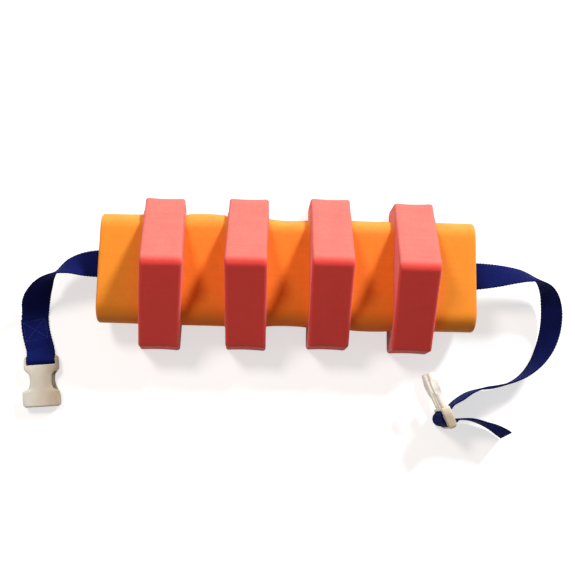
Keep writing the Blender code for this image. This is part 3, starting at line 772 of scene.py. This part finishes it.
# Two walls at each side: where each runs along and across, and how high it goes
GUIDE_WALL = ((0.0087, 0.0236), (0.0074, 0.0083), HOLLOW_HIGH[2] + ROOF_SINK)
WINDOW_SILL = ((0.0089, 0.0231), (0.0078, 0.01), -0.0008)
SLOT_END = 0.0042
SLOT_HALF_WIDTH = 0.0127
SOCKET_BAR_RADIUS = 0.0017
SOCKET_SHARP_DEG = 62
SOCKET_ROUNDING = (0.0008, 3)
HOLLOW_ROUNDING = 0.0012
SLOT_ROUNDING = 0.0009

low = (SOCKET_STATIONS[0][0], -SOCKET_HALF_WIDTH, -SOCKET_HALF_THICKNESS)
high = (SOCKET_STATIONS[-1][0], SOCKET_HALF_WIDTH, SOCKET_HALF_THICKNESS)
socket = start_from_cube("buckle_socket_shell", low, high)
slice_across(0, [station[0] for station in SOCKET_STATIONS[1:-1]])
strip = 2 * SOCKET_HALF_WIDTH / SOCKET_STRIPS
slice_across(1, [strip * k - SOCKET_HALF_WIDTH for k in range(1, SOCKET_STRIPS)])
for x, top, below in SOCKET_STATIONS:
    resize_station(x, (1, top / SOCKET_HALF_WIDTH, 1), lambda place: place.z > 0)
    resize_station(x, (1, below / SOCKET_HALF_WIDTH, 1), lambda place: place.z < 0)
for k in range(SOCKET_STRIPS + 1):
    share = 2 * k / SOCKET_STRIPS - 1
    pick("VERT", lambda vertex: vertex.co.z > 0 and any(
        abs(vertex.co.x - x) < STATION_SLACK and abs(vertex.co.y - share * top) < STATION_SLACK
        for x, top, below in SOCKET_STATIONS
    ))
    bpy.ops.transform.translate(value=(0, 0, -SOCKET_CROWN * share ** 2))
round_edges(lambda edge: sharp(edge, SOCKET_SHARP_DEG), *SOCKET_ROUNDING)
leave_edit()
hollow = tool_box(HOLLOW_LOW, HOLLOW_HIGH, lambda edge: along(edge, 0), HOLLOW_ROUNDING)
combine(socket, hollow, "DIFFERENCE")
for side in (-1, 1):
    for run, wall, top in (GUIDE_WALL, WINDOW_SILL):
        inner, outer = sorted(side * y for y in wall)
        low, high = (run[0], inner, HOLLOW_LOW[2] - FLOOR_SINK), (run[1], outer, top)
        combine(socket, tool_box(low, high), "UNION")
slot = tool_box(
    (-SOCKET_HALF_WIDTH, -SLOT_HALF_WIDTH, -SOCKET_HALF_WIDTH),
    (SLOT_END, SLOT_HALF_WIDTH, SOCKET_HALF_WIDTH), lambda edge: along(edge, 2), SLOT_ROUNDING,
)
combine(socket, slot, "DIFFERENCE")
combine(socket, tool_bar(SOCKET_BAR_RADIUS, 2 * SLOT_HALF_WIDTH + BAR_SINK), "UNION")
clean(socket)
smooth(socket, angle_deg=50)
settle(socket, SOCKET_BAR, SOCKET_TURN, "socket_half", "buckle_socket")

# %% [markdown]
# The prong half stands on its edge. Its frame is a thick plate with a window, a bar across the
# window for the webbing, and a tongue that guides it into the socket. The outer end is drawn thin
# towards a round nose, so that the webbing slips over it.
# %% The prong half's frame
FRAME_LOW = (-0.0102, -0.0165, -0.0039)
FRAME_HIGH = (0.0086, 0.0165, 0.0039)
# Along the frame from its bar, and the share of the thickness left there
FRAME_NOSE = ((-0.0102, 0.4), (-0.0096, 0.66), (-0.0085, 0.86), (-0.0068, 0.98))
WINDOW_LOW = (-0.008, -0.0131, -0.008)
WINDOW_HIGH = (0.0066, 0.0131, 0.008)
FRAME_BAR_RADIUS = 0.002
TONGUE_LOW = (0.0076, -0.0036, -0.002)
TONGUE_HIGH = (0.0228, 0.0036, 0.002)
# Upright edges may lean a little, because the nose is drawn thin
UPRIGHT_SLACK = 0.2
CORNER_SHARP_DEG = 80
CORNER_ROUNDING = (0.0021, 4)
RIM_SHARP_DEG = 42
RIM_ROUNDING = (0.001, 3)
WINDOW_ROUNDING = 0.0011
TONGUE_ROUNDING = 0.003


def upright(edge):
    return along(edge, 2, UPRIGHT_SLACK)


prong_frame = start_from_cube("buckle_prong_frame", FRAME_LOW, FRAME_HIGH)
slice_across(0, [x for x, thick in FRAME_NOSE[1:]])
for x, thick in FRAME_NOSE:
    resize_station(x, (1, 1, thick))
round_edges(lambda edge: upright(edge) and sharp(edge, CORNER_SHARP_DEG), *CORNER_ROUNDING)
round_edges(lambda edge: sharp(edge, RIM_SHARP_DEG) and not upright(edge), *RIM_ROUNDING)
leave_edit()
window = tool_box(WINDOW_LOW, WINDOW_HIGH, lambda edge: along(edge, 2), WINDOW_ROUNDING)
combine(prong_frame, window, "DIFFERENCE")
combine(prong_frame, tool_bar(FRAME_BAR_RADIUS, 2 * WINDOW_HIGH[1] + BAR_SINK), "UNION")
tongue = tool_box(
    TONGUE_LOW, TONGUE_HIGH,
    lambda edge: along(edge, 2) and middle(edge).x > TONGUE_HIGH[0] / 2, TONGUE_ROUNDING,
)
combine(prong_frame, tongue, "UNION")
clean(prong_frame)
smooth(prong_frame, angle_deg=50)
settle(prong_frame, PRONG_BAR, PRONG_TURN, "prong_half", "buckle_prong_body")

# %% [markdown]
# The two prongs are springy fingers. Each has a slim arm that swells into a long full pad, which
# the thumb presses, and ends in a blunt round tip. The pad is dished so that the thumb stays on it.
# It is a coarse cage of cuts, which Subdivision Surface makes soft, as a moulding is. Its root is
# sunk a little into the frame, because in the real part the two are one.
# %% The prongs
PRONG_HINGE = 0.0108
PRONG_SIDEWAYS = 0.0104
PRONG_HALF_WIDTH = 0.0019
PRONG_HALF_THICKNESS = 0.0031
# Along the prong from its hinge, how far its outer and inner faces are out, share of thickness
PRONG_STATIONS = (
    (-0.003, 0.0021, -0.0021, 1.0), (0.001, 0.0021, -0.0021, 1.0),
    (0.005, 0.0021, -0.0022, 1.04), (0.009, 0.0027, -0.0028, 1.14),
    (0.0125, 0.004, -0.0034, 1.24), (0.0155, 0.005, -0.0037, 1.3),
    (0.0195, 0.0054, -0.0038, 1.3), (0.0232, 0.0053, -0.0037, 1.28),
    (0.0262, 0.0047, -0.0032, 1.18), (0.0282, 0.0036, -0.0024, 0.96),
    (0.029, 0.0022, -0.0014, 0.6),
)
DISH_RUN = (0.0085, 0.024)
DISH_SLOPE = 0.0016
DISH_DEPTH = 0.0008
FACING_OUT = 0.8
SOFTNESS = 3

for name, side in (("left", -1), ("right", 1)):
    prong = start_from_cube(
        f"buckle_prong_{name}_arm",
        (PRONG_STATIONS[0][0], -PRONG_HALF_WIDTH, -PRONG_HALF_THICKNESS),
        (PRONG_STATIONS[-1][0], PRONG_HALF_WIDTH, PRONG_HALF_THICKNESS),
    )
    slice_across(0, [station[0] for station in PRONG_STATIONS[1:-1]])
    for x, out, inner, thick in PRONG_STATIONS:
        resize_station(x, (1, out / PRONG_HALF_WIDTH, thick), lambda place: place.y * side > 0)
        resize_station(x, (1, -inner / PRONG_HALF_WIDTH, thick), lambda place: place.y * side < 0)
    pick("FACE", lambda face: face.normal.y * side > FACING_OUT
         and DISH_RUN[0] < face.calc_center_median().x < DISH_RUN[1])
    bpy.ops.mesh.inset(thickness=DISH_SLOPE, depth=-DISH_DEPTH)
    leave_edit()
    apply_modifier(prong, "SUBSURF", levels=SOFTNESS, render_levels=SOFTNESS)
    smooth(prong, angle_deg=60)
    prong.data.transform(Matrix.Translation((PRONG_HINGE, side * PRONG_SIDEWAYS, 0)))
    settle(prong, PRONG_BAR, PRONG_TURN, f"prong_{name}", f"buckle_prong_{name}")

# %% [markdown]
# The fold of the left strap is sewn down with a box and a cross. Thread shows as a row of short
# loops, each pulled into the webbing at both ends. One stitch is a small sphere drawn long; it is
# copied along the four sides and the two diagonals, and the copies are joined.
# %% The stitching
STITCH_BOX = (0.017, 0.019)
STITCH_LENGTH = 0.0024
STITCH_PITCH = 0.0029
THREAD_WIDTH = 0.0006
THREAD_HEIGHT = 0.0005
STITCH_PROUD = 0.0001
STITCH_TOP = FOLD_LOW + LAYER + WEBBING_THICKNESS / 2 + STITCH_PROUD


def stitch_places():
    """Where each stitch lies and which way it runs, along the box and its diagonals."""
    back, front = [on_socket(*point, STITCH_TOP) for point in FOLD_ROUTE[2:4]]
    ahead = (front - back).normalized()
    aside = UP.cross(ahead)
    centre = (back + front) / 2
    corners = [
        centre + ahead * a * STITCH_BOX[0] / 2 + aside * b * STITCH_BOX[1] / 2
        for a, b in ((-1, -1), (1, -1), (1, 1), (-1, 1))
    ]
    places = []
    for start, end in ((0, 1), (1, 2), (2, 3), (3, 0), (0, 2), (1, 3)):
        run = corners[end] - corners[start]
        count = round(run.length / STITCH_PITCH)
        places += [(corners[start] + run * (k + 0.5) / count, run) for k in range(count)]
    return places


stitches = []
for place, run in stitch_places():
    bpy.ops.mesh.primitive_uv_sphere_add(
        segments=8, ring_count=6, radius=0.5, location=place,
        rotation=(0, math.pi / 2, math.atan2(run.y, run.x)),
        scale=(THREAD_HEIGHT, THREAD_WIDTH, STITCH_LENGTH),
    )
    bpy.ops.object.transform_apply()
    stitches.append(bpy.context.object)
bpy.ops.object.select_all(action="DESELECT")
for stitch in stitches:
    stitch.select_set(True)
bpy.ops.object.join()
stitching = bpy.context.object
stitching.name = stitching.data.name = "fold_stitching"
smooth(stitching, angle_deg=80)
hand_over(stitching, "root", "box_stitch")
print("the fold is held by", len(stitches), "stitches")

# %% [markdown]
# Light and materials share three helpers. The first turns a hex colour into the linear values that
# a shader wants, the second links or sets what goes into a node, and the third adds a node.
# %% Helpers for colours and nodes
def to_linear(code):
    """The linear colour of an sRGB hex code, for a shader's socket."""
    parts = [int(code[k:k + 2], 16) / 255 for k in (0, 2, 4)]
    return [
        part / 12.92 if part <= 0.04045 else ((part + 0.055) / 1.055) ** 2.4 for part in parts
    ] + [1.0]


def connect(node, inputs):
    """Links or sets inputs. A node stands for its first output, and text for a hex colour."""
    for name, value in inputs.items():
        if isinstance(value, str):
            value = to_linear(value)
        if isinstance(value, bpy.types.Node):
            value = value.outputs[0]
        if isinstance(value, bpy.types.NodeSocket):
            node.id_data.links.new(value, node.inputs[name])
        else:
            node.inputs[name].default_value = value


def add(tree, kind, inputs=None, **settings):
    """Adds a node with its settings and its inputs."""
    node = tree.nodes.new("ShaderNode" + kind)
    for name, value in settings.items():
        setattr(node, name, value)
    connect(node, inputs or {})
    return node


# %% [markdown]
# Light: one soft lamp from the far right, low enough that each float throws a slanting shadow on
# the slab to its left, and a weaker one from the far left, which lifts those shadows.
# %% Light
WARM_WHITE = "FFEEE6"


def lamp(name, towards, distance, size, power, colour):
    place = Vector(towards).normalized() * distance
    turn = Vector(towards).to_track_quat("Z", "Y").to_euler()
    bpy.ops.object.light_add(type="AREA", location=place, rotation=turn)
    light = bpy.context.object
    light.name = name
    light.data.shape = "DISK"
    light.data.size = size
    light.data.energy = power
    light.data.color = to_linear(colour)[:3]
    print(name, "is", distance, "m away, at", power, "W")


lamp(
    "key_light", towards=(0.56, 0.66, 0.51), distance=3.0, size=0.55, power=102.0,
    colour="FFFFFF",
)
lamp(
    "fill_light", towards=(-0.42, 0.42, 0.8), distance=1.6, size=0.45, power=12.2,
    colour=WARM_WHITE,
)

# %% [markdown]
# The world fills the rest with a faint warm light, and the floor is white paper. Seen directly
# both are brighter than the light they give, because the photograph's ground is pure white.
# %% Floor and world
WORLD_STRENGTH = 0.21
PAPER_SIZE = 6
PAPER_COLOUR = "D0D4D5"
PAPER_GLOW = 0.62


def empty_tree(owner):
    owner.use_nodes = True
    owner.node_tree.nodes.clear()
    return owner.node_tree


def straight_rays(tree):
    """1 for the rays that show the background: from the camera, off gloss and through glass."""
    path = add(tree, "LightPath")
    rays = [path.outputs[f"Is {kind} Ray"] for kind in ("Camera", "Glossy", "Transmission")]
    first = add(tree, "Math", {0: rays[0], 1: rays[1]}, operation="MAXIMUM")
    return add(tree, "Math", {0: first, 1: rays[2]}, operation="MAXIMUM")


world = bpy.context.scene.world or bpy.data.worlds.new("studio")
bpy.context.scene.world = world
tree = empty_tree(world)
faint = add(tree, "Background", {"Color": WARM_WHITE, "Strength": WORLD_STRENGTH})
bright = add(tree, "Background", {"Color": "FFFFFF", "Strength": 1.0})
seen = add(tree, "MixShader", {0: straight_rays(tree), 1: faint, 2: bright})
add(tree, "OutputWorld", {"Surface": seen})

bpy.ops.mesh.primitive_plane_add(size=PAPER_SIZE)
floor = bpy.context.object
floor.name = "floor"
paper = bpy.data.materials.new("white_paper")
tree = empty_tree(paper)
matt = add(tree, "BsdfDiffuse", {"Color": PAPER_COLOUR})
glow = add(tree, "Emission", {"Color": "FFFFFF", "Strength": PAPER_GLOW})
bright = add(tree, "AddShader", {0: matt, 1: glow})
seen = add(tree, "MixShader", {0: straight_rays(tree), 1: matt, 2: bright})
add(tree, "OutputMaterial", {"Surface": seen})
floor.data.materials.append(paper)
floor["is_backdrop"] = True
print("the floor is", PAPER_SIZE, "m wide")

# %% [markdown]
# Every finish starts from what the real thing is, and every pattern from a size in millimetres.
# Three more helpers serve them all: one starts a material, one gives a place on the piece in
# millimetres, and one puts the finished material on a piece.
# %% Helpers for materials
def new_finish(name):
    """A material, its node tree and its Principled shader."""
    made = bpy.data.materials.new(name)
    made.use_nodes = True
    return made, made.node_tree, made.node_tree.nodes["Principled BSDF"]


def place_in_mm(tree, stretch=(1, 1, 1)):
    """A place on the piece in millimetres, from Object coordinates."""
    where = add(tree, "TexCoord")
    scale = [factor / MILLIMETRE for factor in stretch]
    return add(tree, "Mapping", {"Vector": where.outputs["Object"], "Scale": scale})


def wear(piece, material):
    piece.data.materials.clear()
    piece.data.materials.append(material)


# %% [markdown]
# The slab and the floats are closed-cell polyethylene foam, cut from a thick sheet by a hot wire.
# Its cells are closed, so it has a matt, slightly velvety skin with a faint grain, and the wire
# leaves lines along the belt. The colour wanders a little and the light sinks in before it comes
# back. Convex edges are paler, partly from wear and partly as a painted highlight. The far side is
# painted paler, a painted sheen where the lamp strikes, and the wire's lines show most there. The
# slab's middle is painted redder, as painted light bounced from the floats. Real cells are nearer
# half a millimetre and the wire's lines nearer one, so both are drawn about twice as coarse, or
# the render would lose them.
# %% Foam
CELL_MM = 1.1
GRAIN_MM = 2.4 * CELL_MM
MOTTLE_MM = 14.0
WIRE_LINE_MM = 2.4
WIRE_STRETCH = (0.03, 1, 1)
FOAM_BUMP_MM = 0.1
# From and to how far from the middle the slab is painted redder, as painted light bounced from the
# floats
PAINTED_BOUNCE_MM = (136, 108)
# How much of one pattern goes into another
GRAIN_IN_TONE = 0.5
WIRE_IN_TONE = 0.8
GRAIN_IN_PAINTED_SHEEN = 0.3
CELLS_IN_HEIGHT = 0.6
WIRE_IN_HEIGHT = 0.5
# How much of the wire's lines shows away from the painted sheen
LINES_OFF_PAINTED_SHEEN = 0.3
# How much paler convex edges get, partly wear and partly painted highlight
EDGE_WEAR_AND_HIGHLIGHT = 0.35


def foam_patterns(tree):
    """The cells, the grain, a slow mottle and the wire's lines."""
    place, along_wire = place_in_mm(tree), place_in_mm(tree, WIRE_STRETCH)
    patterns = [add(tree, "TexVoronoi", {"Vector": place, "Scale": 1 / CELL_MM})]
    for where, size, detail, roughness in (
        (place, GRAIN_MM, 3.0, 0.6), (place, MOTTLE_MM, 2.0, 0.5),
        (along_wire, WIRE_LINE_MM, 1.0, 0.5),
    ):
        patterns.append(add(tree, "TexNoise", {
            "Vector": where, "Scale": 1 / size, "Detail": detail, "Roughness": roughness,
        }))
    return patterns


def foam_colour(tree, grain, mottle, wire, colours):
    """Lined foam, with painted bounce red in the middle, a painted sheen on the far side, and edges
    paler from wear and painted highlight.
    """
    full, painted_bounce_red, worn_and_highlit_edge, painted_sheen_pale = colours
    apart = add(tree, "SeparateXYZ", {"Vector": place_in_mm(tree)})
    # Painted bounce light: the slab's middle, under and between the floats, is painted redder
    from_middle = add(tree, "Math", {0: apart.outputs["X"]}, operation="ABSOLUTE")
    painted_bounce_mask = add(tree, "MapRange", {
        "Value": from_middle, "From Min": PAINTED_BOUNCE_MM[0], "From Max": PAINTED_BOUNCE_MM[1],
    })
    body = add(tree, "MixRGB", {"Fac": painted_bounce_mask, "Color1": full, "Color2": painted_bounce_red})
    # Painted sheen: faces turned to the far side, where the lamp strikes, are painted paler, the
    # grain breaking up its edge
    normal = add(tree, "TexCoord").outputs["Normal"]
    facing = add(tree, "SeparateXYZ", {"Vector": normal})
    reach = add(tree, "Math", {
        0: grain, 1: GRAIN_IN_PAINTED_SHEEN, 2: facing.outputs["Y"],
    }, operation="MULTIPLY_ADD")
    painted_sheen_mask = add(tree, "MapRange", {"Value": reach, "From Min": 0.08, "From Max": 0.82})
    with_painted_sheen = add(tree, "MixRGB", {"Fac": painted_sheen_mask, "Color1": body, "Color2": painted_sheen_pale})
    tone = mottle
    for pattern, share in ((grain, GRAIN_IN_TONE), (wire, WIRE_IN_TONE)):
        parts = {0: pattern, 1: share, 2: tone}
        tone = add(tree, "Math", parts, operation="MULTIPLY_ADD")
    spread = add(tree, "MapRange", {
        "Value": tone, "From Min": 0.8, "From Max": 1.5, "To Min": 0.87, "To Max": 1.06,
    })
    lines_show = add(tree, "MapRange", {"Value": painted_sheen_mask, "To Min": LINES_OFF_PAINTED_SHEEN})
    lined = add(tree, "MixRGB", {
        "Fac": lines_show, "Color1": with_painted_sheen, "Color2": spread,
    }, blend_type="MULTIPLY")
    # Convex edges are paler: partly wear, partly painted highlight
    edge = add(tree, "MapRange", {
        "Value": add(tree, "NewGeometry").outputs["Pointiness"],
        "From Min": 0.515, "From Max": 0.6, "To Max": EDGE_WEAR_AND_HIGHLIGHT,
    })
    return add(tree, "MixRGB", {"Fac": edge, "Color1": lined, "Color2": worn_and_highlit_edge})


def cut_foam(name, colours, sheen, glow):
    """Closed-cell foam, from its full colour, painted bounce red, worn and highlit edge colour and
    painted sheen colour.
    """
    made, tree, shader = new_finish(name)
    cells, grain, mottle, wire = foam_patterns(tree)
    height = grain
    for pattern, share in ((cells, CELLS_IN_HEIGHT), (wire, WIRE_IN_HEIGHT)):
        parts = {0: pattern, 1: share, 2: height}
        height = add(tree, "Math", parts, operation="MULTIPLY_ADD")
    bump = add(tree, "Bump", {
        "Height": height, "Strength": 0.8, "Distance": FOAM_BUMP_MM * MILLIMETRE,
    })
    rough = add(tree, "MapRange", {"Value": grain, "To Min": 0.72, "To Max": 0.92})
    connect(shader, {
        "Base Color": foam_colour(tree, grain, mottle, wire, colours), "Roughness": rough,
        "Normal": bump, "Specular IOR Level": 0.3, "Sheen Weight": sheen,
        "Sheen Roughness": 0.4, "Subsurface Weight": glow,
        "Subsurface Radius": (1.0, 0.25, 0.12), "Subsurface Scale": 0.004,
    })
    return made


# Each finish gives its full colour, painted bounce red, worn and highlit edge colour, and painted
# sheen colour
orange_foam = cut_foam(
    "closed_cell_foam_orange", ("EA8E20", "EE7B1B", "FDB25C", "F09C3C"), sheen=0.25, glow=0.12,
)
coral_foam = cut_foam(
    "closed_cell_foam_coral", ("E8463F", "E8463F", "F07F76", "D2746A"), sheen=0.35, glow=0.15,
)
wear(slab, orange_foam)
for number in range(1, len(FLOAT_PLACES) + 1):
    wear(bpy.data.objects[f"float_foam_{number}"], coral_foam)
print("foam on the slab and", number, "floats")

# %% [markdown]
# The straps are woven polypropylene, a millimetre and a half thick. The yarns are flat bundles of
# filaments with a dull gloss, which show as rows of small ribs along the strap, each row shifted by
# half a rib. The ribs are worked out from the ribbon's own millimetres: a real strap has about 1 mm
# between rows, drawn here at 1.3 mm so that the render can show them.
# %% Webbing
ROW_MM = 1.3
RIB_MM = 2.3
RIB_FULLNESS = 0.6
WEAVE_BUMP_MM = 0.28
# The loose fibres and the wear, each a number of patches per millimetre and a detail
UNEVEN_LAYERS = ((2.2, 3.0), (0.09, 1.0))
UNEVENNESS = 0.35

navy_webbing, tree, shader = new_finish("woven_polypropylene_webbing_navy")
weave = add(tree, "UVMap", uv_map="weave")
apart = add(tree, "SeparateXYZ", {"Vector": weave})
row = add(tree, "Math", {0: apart.outputs["Y"], 1: ROW_MM}, operation="DIVIDE")
row_number = add(tree, "Math", {0: row}, operation="FLOOR")
odd_row = add(tree, "Math", {0: row_number, 1: 2.0}, operation="MODULO")
rib = add(tree, "Math", {0: apart.outputs["X"], 1: RIB_MM}, operation="DIVIDE")
shifted = add(tree, "Math", {0: odd_row, 1: 0.5, 2: rib}, operation="MULTIPLY_ADD")
swells = []
for swell in (row, shifted):
    for step, by in (("FRACT", 0), ("MULTIPLY", math.pi), ("SINE", 0)):
        swell = add(tree, "Math", {0: swell, 1: by}, operation=step)
    swells.append(swell)
both = add(tree, "Math", {0: swells[0], 1: swells[1]}, operation="MULTIPLY")
lift = add(tree, "Math", {0: both, 1: RIB_FULLNESS}, operation="POWER")
for per_mm, detail in UNEVEN_LAYERS:
    uneven = add(tree, "TexNoise", {
        "Vector": place_in_mm(tree), "Scale": per_mm, "Detail": detail,
    })
    parts = {0: uneven, 1: UNEVENNESS, 2: lift}
    lift = add(tree, "Math", parts, operation="MULTIPLY_ADD")
spread = add(tree, "MapRange", {"Value": lift, "From Min": 0.35, "From Max": 1.35})
# The hollows between the ribs are painted darker, as painted shade; loose fibres and wear add
# random tone
painted_shade_or_crown = {"Fac": spread, "Color1": "080A1A", "Color2": "121F70"}
colour = add(tree, "MixRGB", painted_shade_or_crown)
bump = add(tree, "Bump", {
    "Height": lift, "Strength": 0.9, "Distance": WEAVE_BUMP_MM * MILLIMETRE,
})
connect(shader, {
    "Base Color": colour, "Normal": bump, "Roughness": 0.8, "Specular IOR Level": 0.05,
    "Anisotropic": 0.3,
})
straps = (left_strap, right_strap, tail_strap, core_strap)
for strap in straps:
    wear(strap, navy_webbing)
print("webbing on", len(straps), "straps")

# %% [markdown]
# The thread is bonded polyester, a little paler than the webbing and with a soft gloss. Two plies
# are twisted together, which shows as slanting bands along each stitch, bumped and painted darker
# in the grooves as painted shade.
# %% Thread
# At this scale the bands of the wave are about 0.8 mm apart
TWIST_PER_MM = 0.8
THREAD_BUMP_MM = 0.08

navy_thread, tree, shader = new_finish("bonded_polyester_thread_navy")
twist = add(tree, "TexWave", {
    "Vector": place_in_mm(tree), "Scale": TWIST_PER_MM, "Distortion": 0.4,
}, bands_direction="DIAGONAL").outputs["Fac"]
# The bands are painted darker in the grooves between the plies, as painted shade
colour = add(tree, "MixRGB", {"Fac": twist, "Color1": "161E60", "Color2": "263286"})
bump = add(tree, "Bump", {
    "Height": twist, "Strength": 0.6, "Distance": THREAD_BUMP_MM * MILLIMETRE,
})
connect(shader, {
    "Base Color": colour, "Normal": bump, "Roughness": 0.55, "Specular IOR Level": 0.12,
    "Sheen Weight": 0.05,
})
wear(stitching, navy_thread)
print("thread on", stitching.name)

# %% [markdown]
# The buckle is moulded acetal, a dense plastic with a waxy half gloss. Uncoloured, it is white with
# a breath of green and yellow. Light enters it a little way, so its thin edges glow. Each half is
# painted darker and tanner towards one end, as painted shade, and varies a little in patches. The
# mould leaves a very fine spark-eroded texture, drawn at half a millimetre, because the real one is
# too fine to show.
# %% Acetal
TEXTURE_MM = 0.5
TEXTURE_BUMP_MM = 0.03
PATCH_MM = 9.0
PATCHES_IN_PAINTED_SHADE = 0.3


def moulded_acetal(name, white, shade_and_patch_tan, axis, run):
    """Acetal with painted shade along an axis, white at the first and tan at the second place in
    millimetres.
    """
    made, tree, shader = new_finish(name)
    place = place_in_mm(tree)
    apart = add(tree, "SeparateXYZ", {"Vector": place})
    # Painted shade: each half is painted darker and tanner along its run, with patches of tone
    # mixed in
    painted_shade_ramp = add(tree, "MapRange", {
        "Value": apart.outputs[axis], "From Min": run[0], "From Max": run[1],
    })
    texture, patches = [
        add(tree, "TexNoise", {"Vector": place, "Scale": 1 / size, "Detail": 2.0})
        for size in (TEXTURE_MM, PATCH_MM)
    ]
    parts = {0: patches, 1: PATCHES_IN_PAINTED_SHADE, 2: painted_shade_ramp}
    painted_shade_and_patches = add(tree, "Math", parts, operation="MULTIPLY_ADD")
    tone = add(tree, "MapRange", {
        "Value": painted_shade_and_patches, "From Min": 0.15, "From Max": 1.15,
    })
    colour = add(tree, "MixRGB", {"Fac": tone, "Color1": white, "Color2": shade_and_patch_tan})
    bump = add(tree, "Bump", {
        "Height": texture, "Strength": 0.35, "Distance": TEXTURE_BUMP_MM * MILLIMETRE,
    })
    gloss = add(tree, "MapRange", {"Value": texture, "To Min": 0.3, "To Max": 0.42})
    connect(shader, {
        "Base Color": colour, "Normal": bump, "Roughness": gloss, "IOR": 1.48,
        "Subsurface Weight": 0.4, "Subsurface Radius": (1.0, 0.8, 0.6),
        "Subsurface Scale": 0.004,
    })
    return made


# The second colour of each is the painted shade at the end of its run
socket_acetal = moulded_acetal(
    "moulded_acetal_socket_half", "DCDCD0", "B3A48B", axis="X", run=(-220, -195),
)
prong_half_acetal = moulded_acetal(
    "moulded_acetal_prong_half", "F6F6EF", "B5AA90", axis="Y", run=(-104, -120),
)
prong_arms = [bpy.data.objects[f"buckle_prong_{name}_arm"] for name in ("left", "right")]
prong_half = [prong_frame, *prong_arms]
wear(socket, socket_acetal)
for piece in prong_half:
    wear(piece, prong_half_acetal)
print("acetal on", 1 + len(prong_half), "mouldings")

# %% [markdown]
# The names of the two free ends are printed.
# %% Cords
print("cords:", left_strap.name, "and", right_strap.name)

# %% [markdown]
# Last, the corners of what is shown, without the floor, are worked out.
# %% Finish
low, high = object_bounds()
